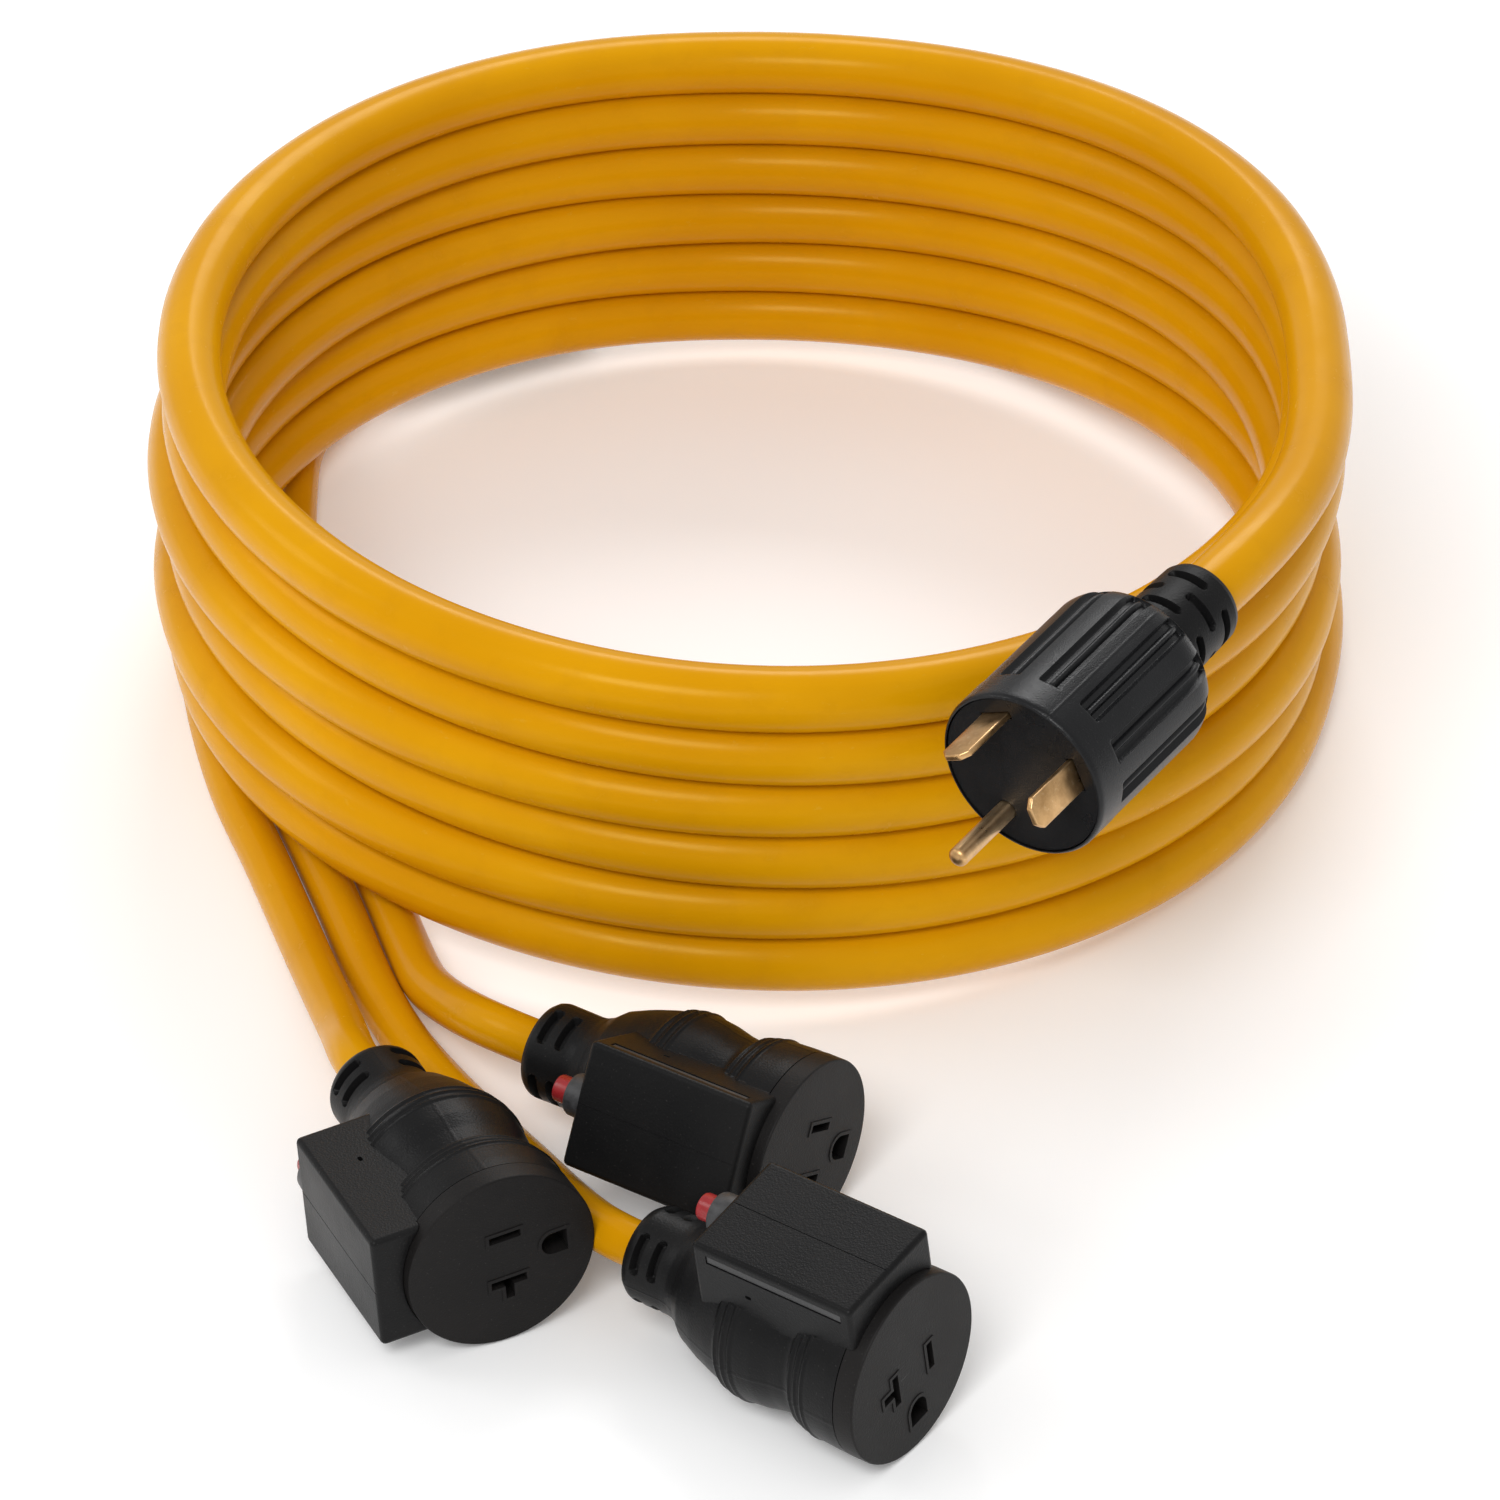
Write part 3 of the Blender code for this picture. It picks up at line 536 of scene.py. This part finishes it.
def moulded_material(name, dark, pale, grain, rough, sheen):
    """Black moulded plastic: a fine eroded grain, faint smudges and a little dust."""
    n = Nodes(name)
    smudge = n.noise(38.0, 4.0, 0.6)
    colour = n.mix(n.span(smudge, 0.4, 0.68), dark, pale)
    dust = n.span(n.noise(1900.0, 2.0, 0.6), 0.66, 0.74, 0.0, 0.25)
    colour = n.mix(dust, colour, (0.085, 0.08, 0.075))
    roughness = n.span(smudge, 0.3, 0.7, rough, rough + 0.12)
    fine = n.noise(grain, 3.0, 0.65)
    pits = n.cells(grain * 1.3)
    height = n.maths("ADD", fine, n.maths("MULTIPLY", pits, 0.6))
    normal = n.bump(height, 0.42, 0.00012)
    return n.set(Base_Color=colour, Roughness=roughness, Normal=normal, Specular_IOR_Level=sheen)


def brass_material():
    """Worn brass: fine mottling, darker stains and brighter rubbed edges."""
    n = Nodes("brass_worn")
    lines = n.noise(260.0, 4.0, 0.7)
    stain = n.noise(170.0, 5.0, 0.65)
    colour = n.mix(n.span(stain, 0.35, 0.68), (0.68, 0.42, 0.19), (0.44, 0.25, 0.10))
    colour = n.mix(n.span(n.noise(900.0, 3.0), 0.6, 0.75, 0.0, 0.4), colour, (0.86, 0.66, 0.40))
    colour = n.mix(n.edges(0.54, 0.62), colour, (0.95, 0.74, 0.50))
    roughness = n.span(lines, 0.3, 0.7, 0.26, 0.44)
    normal = n.bump(n.maths("ADD", lines, n.noise(1400.0, 2.0)), 0.14, 0.0001)
    return n.set(Base_Color=colour, Metallic=1.0, Roughness=roughness, Normal=normal)


def copper_material():
    n = Nodes("copper_bare")
    colour = n.mix(n.span(n.noise(240.0, 4.0), 0.35, 0.65), (0.72, 0.34, 0.2), (0.5, 0.2, 0.1))
    roughness = n.span(n.noise(500.0), 0.3, 0.7, 0.25, 0.45)
    normal = n.bump(n.noise(900.0), 0.15, 0.0001)
    return n.set(Base_Color=colour, Metallic=1.0, Roughness=roughness, Normal=normal)


def button_material():
    n = Nodes("button_red")
    tone = n.noise(420.0, 3.0)
    colour = n.mix(n.span(tone, 0.35, 0.65), (0.20, 0.003, 0.006), (0.27, 0.006, 0.010))
    # painted highlight: the button's convex edges are made a lighter red, as if catching the light
    colour = n.mix(n.edges(0.54, 0.62), colour, (0.42, 0.05, 0.05))
    roughness = n.span(tone, 0.3, 0.7, 0.22, 0.34)
    normal = n.bump(n.noise(1600.0, 2.0), 0.10, 0.0001)
    return n.set(Base_Color=colour, Roughness=roughness, Normal=normal, Specular_IOR_Level=0.35)


def plain_material(name, dark, pale, scale, rough, metallic=0.0):
    n = Nodes(name)
    tone = n.noise(scale, 4.0, 0.6)
    colour = n.mix(n.span(tone, 0.35, 0.65), dark, pale)
    roughness = n.span(tone, 0.3, 0.7, rough, rough + 0.12)
    normal = n.bump(n.noise(scale * 3, 3.0), 0.25, 0.0001)
    return n.set(Base_Color=colour, Roughness=roughness, Metallic=metallic, Normal=normal)


make_camera()
make_stage()

JACKET = jacket_material()
BLACK = moulded_material(
    "moulded_black", (0.0065, 0.0065, 0.0068), (0.0095, 0.0092, 0.0092), grain=1500.0, rough=0.33, sheen=0.13
)
PLUG_BLACK = moulded_material(
    "plug_black", (0.0065, 0.0067, 0.0075), (0.0095, 0.0098, 0.0108), grain=2300.0, rough=0.24, sheen=0.25
)
FACE_BLACK = moulded_material(
    "face_black", (0.0095, 0.0088, 0.0086), (0.0135, 0.0122, 0.0118), grain=1900.0, rough=0.40, sheen=0.12
)
STRIP = moulded_material(
    "strip_texture", (0.034, 0.034, 0.035), (0.060, 0.060, 0.061), grain=900.0, rough=0.45, sheen=0.4
)
BRASS = brass_material()
COPPER = copper_material()
RED = button_material()
COLLAR = plain_material("collar_grey", (0.024, 0.024, 0.025), (0.045, 0.045, 0.047), 600.0, 0.42)
STEEL = plain_material("spring_steel", (0.5, 0.5, 0.52), (0.62, 0.62, 0.64), 500.0, 0.25, 1.0)
PHENOLIC = plain_material("breaker_phenolic", (0.03, 0.02, 0.017), (0.055, 0.04, 0.03), 500.0, 0.5)

# ------------------------------------------------------------ cords

JACKET_PRESS = 0.00013  # the jackets press this far into each other
SLIDES = (0.0, 0.0009, -0.0028, 0.0009, -0.0026, 0.0)  # of each turn from the top one, towards +X
HELD = 0.002            # of a cord's end, inside its mould
POINTS_A_TURN = 150
MAIN_STEP = 0.0045
MAIN_EASING, TAIL_EASING = 6, 4


def cord_curve(name, points, diameter):
    curve = bpy.data.curves.new(name, "CURVE")
    curve.dimensions = "3D"
    curve.bevel_depth = diameter / 2 + JACKET_PRESS
    curve.bevel_resolution = 8
    curve.use_fill_caps = True
    curve.twist_mode = "Z_UP"
    spline = curve.splines.new("POLY")
    spline.points.add(len(points) - 1)
    for point, place in zip(spline.points, points):
        point.co = (*place, 1)
    spline.use_smooth = True
    curve.materials.append(JACKET)
    obj = link(name, curve)
    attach(obj, "root")
    return obj


def loose_coil_point(turn):
    """The coil's line, with every turn slid a little sideways from the one above, as a hand leaves them."""
    point = coil_point(turn)
    whole = math.floor(turn)
    before, after = SLIDES[max(whole - 1, 0)], SLIDES[min(whole, len(SLIDES) - 1)]
    slide = before + (after - before) * ease((turn - whole) * math.tau / DROP_TO)
    out = (point - COIL_XY).xy.normalized()
    fade = ease((turn - 0.2) / 0.4) * ease((TURNS - 0.3 - turn) / 0.4)
    wander = 0.0004 * math.sin(turn * 17.9 + 1.3) * fade
    return point + Vector((out.x * wander + slide, out.y * wander, 0))


def main_cord_line():
    back = -PLUG.col[2].xyz
    start = PLUG @ Vector((0, 0, -PLUG_LENGTH))
    joins = coil_point(RAMP_FROM)
    heading = (coil_point(RAMP_FROM + 0.01) - joins).normalized()
    lead = [start - back * HELD, start + back * STRAIGHT]
    lead += [in_coil_frame(*p) for p in PLUG_LEAD]
    line = smooth_route(lead + [joins], (back, heading))
    count = POINTS_A_TURN * TURNS
    line += [loose_coil_point(RAMP_FROM + (EXIT_TO - RAMP_FROM) * i / count) for i in range(1, count)]
    leaves = coil_point(EXIT_TO)
    heading = (leaves - coil_point(EXIT_TO - 0.01)).normalized()
    entry = SPLITTER @ Vector((0, 0, -SPLIT_SIZE.x - TRUNK_SNOUT))
    arrival = SPLITTER.col[2].xyz
    trunk = [leaves] + [in_coil_frame(*p) for p in TRUNK]
    trunk += [entry - arrival * STRAIGHT, entry + arrival * HELD]
    line += smooth_route(trunk, (heading, arrival))
    return relaxed(evenly(line, MAIN_STEP), MAIN_EASING)


def tail_exit(key):
    """Where a tail leaves the splitter, and which way: a is the outer one."""
    place = {"a": 1, "b": 0, "c": -1}[key]
    out = SPLITTER.col[2].xyz
    side = Vector((0, 0, 1)).cross(out)
    return SPLITTER @ Vector((0, 0, SNOUT)) - side * place * TAIL_APART, out


def tail_line(key):
    start, heading = tail_exit(key)
    outlet = OUTLET[key]
    end, arrival = outlet @ Vector((0, 0, -OUTLET_LENGTH)), outlet.col[2].xyz
    points = [start + heading * STRAIGHT]
    points += [in_coil_frame(*p) for p in TAILS[key]]
    points.append(end - arrival * STRAIGHT)
    line = smooth_route(points, (heading, arrival))
    return relaxed([start - heading * HELD] + line + [end + arrival * HELD], TAIL_EASING)


def make_cords():
    line = main_cord_line()
    main = cord_curve("main_cord", line, MAIN_D)
    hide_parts("coil", "plug_lead", "trunk_lead")
    tails = {}
    for key in OUTLETS:
        tail = cord_curve(f"tail_cord_{key}", tail_line(key), TAIL_D)
        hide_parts(f"tail_{key}")
        tails[key] = tail
    return main, line, tails


def declare_cords(tails):
    for key, tail in tails.items():
        points = tail_line(key)


MAIN, MAIN_LINE, TAIL_CORDS = make_cords()

# ------------------------------------------------------------ plug


BARREL_LENGTH = 0.0500
BARREL_DOME, BARREL_DOME_DROP = 0.0100, 0.0078
BARREL_RIM, BARREL_RIM_DROP = 0.0012, 0.0006
FLUTES = 12
FLUTE_LOW, FLUTE_HIGH = -0.0472, -0.0092
FLUTE_HALF, FLUTE_DEPTH = 0.0027, 0.0017
RIB_HALF, RIB_HEIGHT = 0.0011, 0.0011
RIM_ROOM_R, RIM_ROOM_DEPTH = 0.0203, 0.0082
CORE_ROOM_R, CORE_ROOM_DEPTH = 0.0190, 0.0305


def plug_barrel_radius(theta, z):
    """The barrel: a smooth band at the front, twelve flutes with a rib in each, a dome at the back."""
    back = np.clip((-z - (BARREL_LENGTH - BARREL_DOME)) / BARREL_DOME, 0, 1)
    radius = PLUG_R - BARREL_DOME_DROP * (1 - np.sqrt(np.clip(1 - back**2.4, 0, 1)))
    front = np.clip((z + BARREL_RIM) / BARREL_RIM, 0, 1)
    radius = radius - BARREL_RIM_DROP * front**2
    away = wrapped(theta, math.pi / FLUTES, math.tau / FLUTES) * PLUG_R
    flute = band(away, -FLUTE_HALF, FLUTE_HALF, 0.0006) * band(z, FLUTE_LOW, FLUTE_HIGH, 0.0007)
    rib = np.clip(1 - (away / RIB_HALF) ** 2, 0, 1) * band(z, FLUTE_LOW + 0.0006, FLUTE_HIGH - 0.0002, 0.0010)
    radius = radius - FLUTE_DEPTH * flute + RIB_HEIGHT * rib * flute
    seam = abs(wrapped(theta, 0, math.pi)) * PLUG_R
    return radius + 0.00012 * np.exp(-((seam / 0.00022) ** 2))


def relief_slots(theta, z, radius, slots, width, length, depth, shift=0.0):
    """The relief's surface with rows of four slots around it, each (distance behind face, first angle)."""
    cut = np.zeros_like(theta)
    for behind, first in slots:
        away = wrapped(theta, first + shift, math.tau / 4) * radius
        across = z + behind
        reach = np.hypot(np.maximum(abs(away) - length / 2 + width / 2, 0), across)
        cut = np.maximum(cut, step_down(reach, width / 2, 0.0004))
    return radius - depth * cut


PLUG_RELIEF_BEHIND = [0.0485, 0.052, 0.0535, 0.060, 0.070, 0.0725, 0.0738, 0.074]
PLUG_RELIEF_RADII = [0.0120, 0.0118, 0.0112, 0.0110, 0.0107, 0.0106, 0.0101, 0.0094]
PLUG_RELIEF_SLOTS = [(0.0575, 0.0), (0.0632, math.radians(45)), (0.0686, 0.0)]


def plug_relief_radius(theta, z):
    radius = np.interp(-z, PLUG_RELIEF_BEHIND, PLUG_RELIEF_RADII)
    return relief_slots(
        theta, z, radius, PLUG_RELIEF_SLOTS, width=0.0021, length=0.0105, depth=0.0022, shift=math.radians(20)
    )


def blade_mesh():
    """A flat blade with cut corners and a soft bevel all round its end."""
    half, tip, chamfer = BLADE.y / 2, BLADE.z, 0.0019
    outline = [
        (-half, BLADE_ROOT), (half, BLADE_ROOT), (half, tip - chamfer), (half - chamfer, tip),
        (-half + chamfer, tip), (-half, tip - chamfer),
    ]
    bm = bmesh.new()
    face = bm.faces.new([bm.verts.new((-BLADE.x / 2, y, z)) for y, z in outline])
    grown = bmesh.ops.extrude_face_region(bm, geom=[face])
    lifted = [v for v in grown["geom"] if isinstance(v, bmesh.types.BMVert)]
    bmesh.ops.translate(bm, vec=(BLADE.x, 0, 0), verts=lifted)
    bmesh.ops.recalc_face_normals(bm, faces=bm.faces)
    mesh = moved(finished(bm, "blade"), Matrix.Translation((BLADE_RING_R, 0, 0)))
    return bevelled(mesh, 0.00042, segments=3, angle=30)


def plug_barrel_mesh():
    rows = [[0, 0.0003, 0.0007, BARREL_RIM], np.arange(0.0020, BARREL_LENGTH, 0.00035), [BARREL_LENGTH]]
    barrel = polar_mesh(-np.concatenate(rows), 480, plug_barrel_radius)
    rim_room = rod_mesh(RIM_ROOM_R, -RIM_ROOM_DEPTH, 0.01, sides=160)
    core_room = rod_mesh(CORE_ROOM_R, -CORE_ROOM_DEPTH, 0.0, sides=96)
    return combined(barrel, [rim_room, core_room])


def plug_front_mesh():
    """The plug's face and core, with seats for the blades and the pin."""
    rim_r, core_r = RIM_ROOM_R - 0.0001, CORE_ROOM_R - 0.0003
    rim_depth, core_depth = RIM_ROOM_DEPTH - 0.0002, CORE_ROOM_DEPTH - 0.0005
    sunk, edge = 0.0003, 0.0003
    front = turned_mesh(
        [
            (0, -sunk), (rim_r - edge, -sunk), (rim_r, -sunk - edge), (rim_r, -rim_depth),
            (core_r, -rim_depth), (core_r, -core_depth), (0, -core_depth),
        ],
        160,
    )
    seats = []
    for side in (1, -1):
        seat = block_mesh((BLADE.x + 0.0005, BLADE.y + 0.0005, 0.012), (BLADE_RING_R, 0, 0))
        seats.append(moved(seat, Matrix.Rotation(side * BLADE_SPREAD, 4, "Z")))
    seats.append(rod_mesh(PIN_R + 0.0002, -0.006, 0.01, (-PIN_RING_R, 0), 32))
    return bevelled(combined(front, seats), 0.00012)


def ground_pin_mesh():
    dome = PIN_R * 0.62
    tip = []
    for degrees in range(0, 91, 15):
        a = math.radians(degrees)
        tip.append((PIN_R * math.sin(a), PIN_LENGTH - dome * (1 - math.cos(a))))
    pin = turned_mesh(tip + [(PIN_R, BLADE_ROOT), (0, BLADE_ROOT)], 40)
    return moved(pin, Matrix.Translation((-PIN_RING_R, 0, 0)))


def make_plug():
    made = [
        piece("plug_barrel", plug_barrel_mesh(), PLUG, PLUG_BLACK, replaces=["plug_shell"],
              smooth=50),
        piece("plug_front", plug_front_mesh(), PLUG, PLUG_BLACK, replaces=["plug_core"],
              flat_faces=True),
    ]
    heights = -np.concatenate([[0.0480], np.arange(0.0485, PLUG_LENGTH, 0.00022), [PLUG_LENGTH]])
    relief = polar_mesh(heights, 300, plug_relief_radius)
    made.append(piece("plug_relief", relief, PLUG, BLACK, replaces=["plug_strain_relief"],
                      smooth=50))
    blade = blade_mesh()
    for name, side in (("hot", 1), ("neutral", -1)):
        turn = PLUG @ Matrix.Rotation(side * BLADE_SPREAD, 4, "Z")
        made.append(piece(f"blade_{name}", blade, turn, BRASS, replaces=[f"plug_blade_{name}"]))
    made.append(piece("ground_pin", ground_pin_mesh(), PLUG, BRASS, replaces=["plug_ground_pin"]))
    return made


# ------------------------------------------------------------ outlets

STRIP_SIDES = {"a": (1,), "b": (-1, 1), "c": (-1, 1)}  # which sides of the box have a textured strip
# the overmould's profile in millimetres: distance from its cord end, radius
BODY_PROFILE = np.array([
    (0, 10.2), (0.8, 11.0), (2.0, 11.4), (11, 11.3), (13, 11.6), (15.5, 12.7), (18.6, 15.3), (24, 17.6),
    (29, 19.2), (35, 20.8), (38.7, 21.1), (42.7, 20.7), (47, 19.8), (51.2, 19.4), (52.4, 19.7), (53.6, 20.9),
    (58.8, 22.2), (64, 22.5), (66.7, 22.5),
])
BODY_RIBS = {33.0: (0.58, 0.50), 35.2: (0.58, 0.50), 37.4: (0.58, 0.50),    # place: height, width
             53.6: (0.55, 0.45), 55.6: (0.55, 0.45), 57.6: (0.55, 0.45)}
RIBS_END = math.radians(38)    # from the middle of the box, which the ribs stop short of
BODY_SLOTS = [(OUTLET_LENGTH - 0.0038, 0.0), (OUTLET_LENGTH - 0.0086, 0.0)]
FACE_BOSS_R, FACE_BOSS_DEPTH = 0.0176, 0.0150
PLAIN_SLOT, T_SLOT, T_LEG = (0.0076, 0.0019), (0.0086, 0.0020), (0.0021, 0.0046)
GROUND_R, GROUND_SQUARE = 0.0029, (0.0032, 0.0058)
OPENING_DEPTH = 0.0125
OPENING_RIM_OUT, OPENING_RIM_GROW = 0.00022, 0.0017
BOX_LOW = 0.004                                 # the box's inner side, inside the body
STRIP_X = BOX_TOP - 0.0034
STRIP_Z = BOX_MIDDLE + 0.0005


def body_radius(theta, z):
    """The overmould behind the face: relief, dome, waist and collar, with fine ribs and flex slots."""
    s = (z + OUTLET_LENGTH) / MM
    fine = np.linspace(0, BODY_PROFILE[-1, 0], 800)
    rough = np.interp(fine, *BODY_PROFILE.T)
    kernel = np.hanning(21)
    smooth = np.convolve(np.pad(rough, 10, mode="edge"), kernel / kernel.sum(), mode="valid")
    radius = np.interp(s, fine, smooth) * MM
    clear_of_box = abs(wrapped(theta, 0, math.tau)) > RIBS_END
    for centre, (height, width) in BODY_RIBS.items():
        radius = radius + height * MM * np.exp(-(((s - centre) / width) ** 2)) * clear_of_box
    seam = abs(wrapped(theta, math.pi / 2, math.pi)) * 0.021
    radius = radius + 0.00009 * np.exp(-((seam / 0.00025) ** 2))
    return relief_slots(
        theta, z, radius, BODY_SLOTS, width=0.0019, length=0.0098, depth=0.0021, shift=math.radians(45)
    )


def opening_cutters(low, high, grow=0.0):
    """The face's three openings, or their raised rims: a plain slot, a T slot and a rounded ground hole."""
    blade_y = SLOT_APART / 2
    span, middle = high - low, (high + low) / 2
    plain = block_mesh((PLAIN_SLOT[0] + grow, PLAIN_SLOT[1] + grow, span), (BLADES_X, -blade_y, middle))
    bar = block_mesh((T_SLOT[0] + grow, T_SLOT[1] + grow, span), (BLADES_X, blade_y, middle))
    leg = block_mesh((T_LEG[0] + grow, T_LEG[1], span), (BLADES_X, blade_y + 0.0022 + grow / 2, middle))
    round_part = rod_mesh(GROUND_R + grow / 2, low, high, (GROUND_X + 0.0006, 0), 48)
    square = (GROUND_SQUARE[0] + grow / 2, GROUND_SQUARE[1] + grow, span)
    square_part = block_mesh(square, (GROUND_X - 0.0012 - grow / 4, 0, middle))
    return plain, combined(bar, [leg], "UNION"), combined(round_part, [square_part], "UNION")


def box_mesh(strip_sides):
    """The breaker's box: rounded edges, a parting line down its outer face, seats for the textured strips
    and two pin holes."""
    size = (BOX_TOP - BOX_LOW, BOX_WIDTH, BOX_LENGTH)
    box = block_mesh(size, ((BOX_TOP + BOX_LOW) / 2, 0, BOX_MIDDLE), 0.0013, 4)
    cuts = [block_mesh((0.0003, 0.00022, BOX_LENGTH), (BOX_TOP, 0, BOX_MIDDLE))]
    for side in strip_sides:
        at = (STRIP_X, side * BOX_WIDTH / 2, STRIP_Z)
        cuts.append(block_mesh((0.0023, 0.0008, BOX_LENGTH - 0.0066), at))
    for side in (-1, 1):
        at = (BOX_TOP - 0.0098, side * BOX_WIDTH / 2, REAR + 0.0145)
        cuts.append(block_mesh((0.0010, 0.004, 0.0016), at, 0.0004))
    return combined(box, cuts)


def make_body_mesh(strip_sides):
    """The overmould with its box, and room for the face and the button."""
    rows = [[FACE_THICK + 0.0003], np.arange(FACE_THICK + 0.0006, OUTLET_LENGTH, 0.00028), [OUTLET_LENGTH]]
    body = polar_mesh(-np.concatenate(rows), 300, body_radius)
    body = combined(body, [box_mesh(strip_sides)], "UNION")
    seat = rod_mesh(FACE_R + 0.00025, -FACE_THICK - 0.0002, 0.01, sides=128)
    well = rod_mesh(FACE_BOSS_R + 0.0004, -FACE_BOSS_DEPTH - 0.0005, 0.01, sides=64)
    bore = rod_mesh(BUTTON_R + 0.0004, REAR - 0.01, REAR + 0.0026, (BUTTON_X, 0), 32)
    return combined(body, [seat, well, bore])


def make_face_mesh():
    """The outlet's face: a disc with a boss behind it, and three openings with thin raised rims."""
    edge = 0.0005
    disc = turned_mesh(
        [
            (0, 0), (FACE_R - edge, 0), (FACE_R - edge * 0.3, -edge * 0.3), (FACE_R, -edge),
            (FACE_R, -FACE_THICK), (FACE_BOSS_R, -FACE_THICK), (FACE_BOSS_R, -FACE_BOSS_DEPTH),
            (0, -FACE_BOSS_DEPTH),
        ],
        128,
    )
    disc = combined(disc, opening_cutters(-0.0010, OPENING_RIM_OUT, OPENING_RIM_GROW), "UNION")
    disc = combined(disc, opening_cutters(-OPENING_DEPTH, 0.003))
    return bevelled(disc, 0.00013, angle=40)


def make_collar_mesh():
    """The ring around the button, its outer edge rounded."""
    bore, root, end = BUTTON_R + 0.0003, REAR + 0.0004, REAR - COLLAR_OUT
    return turned_mesh(
        [
            (bore, root), (COLLAR_R + 0.0002, root), (COLLAR_R, end + 0.0009),
            (COLLAR_R - 0.0003, end + 0.0003), (COLLAR_R - 0.0009, end),
            (bore + 0.0002, end), (bore, end + 0.0003), (bore, root),
        ],
        48,
    )


def make_button_mesh():
    """The button, with a rounded rim and a slightly dished end."""
    root, tip = REAR + 0.0030, REAR - COLLAR_OUT - BUTTON_OUT
    return turned_mesh(
        [
            (0, root), (BUTTON_R, root), (BUTTON_R, tip + 0.0007), (BUTTON_R - 0.0002, tip + 0.00025),
            (BUTTON_R - 0.0007, tip), (BUTTON_R - 0.0012, tip + 0.00015), (0, tip + 0.00025),
        ],
        48,
    )


def make_outlets():
    body_meshes = {sides: make_body_mesh(sides) for sides in set(STRIP_SIDES.values())}
    face_mesh = make_face_mesh()
    strip = block_mesh((0.0021, 0.0003, BOX_LENGTH - 0.0068), (0, 0, 0), 0.00008, 1)
    collar_mesh = make_collar_mesh()
    button_mesh = make_button_mesh()
    at_button = Matrix.Translation((BUTTON_X, 0, 0))
    pieces = {}
    for key, matrix in OUTLET.items():
        name = f"outlet_{key}"
        made = [
            piece(f"{name}_overmould", body_meshes[STRIP_SIDES[key]], matrix, BLACK,
                  replaces=[f"{name}_body"], smooth=50, flat_faces=True),
            piece(f"{name}_disc", face_mesh, matrix, FACE_BLACK, replaces=[f"{name}_face"],
                  flat_faces=True),
            piece(f"{name}_collar", collar_mesh, matrix @ at_button, COLLAR,
                  replaces=[f"{name}_button_collar"]),
        ]
        for side in STRIP_SIDES[key]:
            word = "left" if side < 0 else "right"
            at = Matrix.Translation((STRIP_X, side * (BOX_WIDTH / 2 - 0.00042), STRIP_Z))
            made.append(piece(f"{name}_strip_{word}", strip, matrix @ at, STRIP))
        button = piece(f"{name}_button", button_mesh, matrix @ at_button, RED, body=f"button_{key}",
                       replaces=[f"{name}_reset_button"])
        pieces[key] = made + [button]
    return pieces


# ------------------------------------------------------------ splitter


SNOUT_LOW = -SPLIT_SIZE.x - TRUNK_SNOUT
SNOUT_SLOTS = [(-SNOUT_LOW - 0.0048, 0.0), (-SNOUT_LOW - 0.0092, math.radians(45))]
SNOUT_BEHIND = [0, 0.0006, 0.0016, 0.010, TRUNK_SNOUT]
SNOUT_RADII = [0.0080, 0.0084, 0.0086, 0.0087, 0.0089]


def snout_radius(theta, z):
    radius = np.interp(z - SNOUT_LOW, SNOUT_BEHIND, SNOUT_RADII)
    return relief_slots(theta, z, radius, SNOUT_SLOTS, width=0.0018, length=0.0082, depth=0.0009)


def make_splitter():
    """Two shells, a ribbed boot for the tails and a slotted snout for the main cord."""
    size = (SPLIT_SIZE.y, SPLIT_SIZE.z, SPLIT_SIZE.x)
    half = SPLIT_SIZE.z / 2
    for word, sign in (("upper", -1), ("lower", 1)):
        shell = block_mesh(size, (0, 0, -SPLIT_SIZE.x / 2), 0.0030, 6)
        keep = block_mesh((0.1, half - 0.0001, 0.1), (0, sign * (half / 2 + 0.00005), 0))
        shell = bevelled(combined(shell, [keep], "INTERSECT"), 0.0003)
        piece(f"splitter_{word}", shell, SPLITTER, BLACK, replaces=[f"splitter_{word}_shell"])
    boot = block_mesh((SPLIT_SIZE.y - 0.001, 0.0134, SNOUT + 0.0002), (0, 0, SNOUT / 2), 0.0020, 5)
    ribs = [block_mesh((0.1, 0.1, 0.0014), (0, 0, 0.0042 + 0.0034 * i)) for i in range(2)]
    inner = block_mesh((SPLIT_SIZE.y - 0.0034, 0.0112, SNOUT), (0, 0, SNOUT / 2), 0.0012, 3)
    boot = combined(combined(boot, ribs), [inner], "UNION")
    piece("splitter_boot", boot, SPLITTER, BLACK, replaces=["splitter_tail_boot"])
    snout = polar_mesh(np.linspace(SNOUT_LOW + TRUNK_SNOUT + 0.001, SNOUT_LOW, 80), 200, snout_radius)
    piece("splitter_snout", snout, SPLITTER, BLACK, replaces=["splitter_trunk_snout"],
          smooth=50)


def dress_inner_nodes():
    """Materials for the CAD nodes that stay: contacts, crimps, breakers and springs."""
    for name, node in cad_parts.items():
        if "contact" in name:
            material = BRASS
        elif "crimp" in name or "_tab_" in name:
            material = COPPER
        elif "spring" in name:
            material = STEEL
        elif "breaker_case" in name:
            material = PHENOLIC
        else:
            continue
        node.data.materials.clear()
        node.data.materials.append(material)


plug_pieces = make_plug()
outlet_pieces = make_outlets()
make_splitter()
dress_inner_nodes()
declare_cords(TAIL_CORDS)
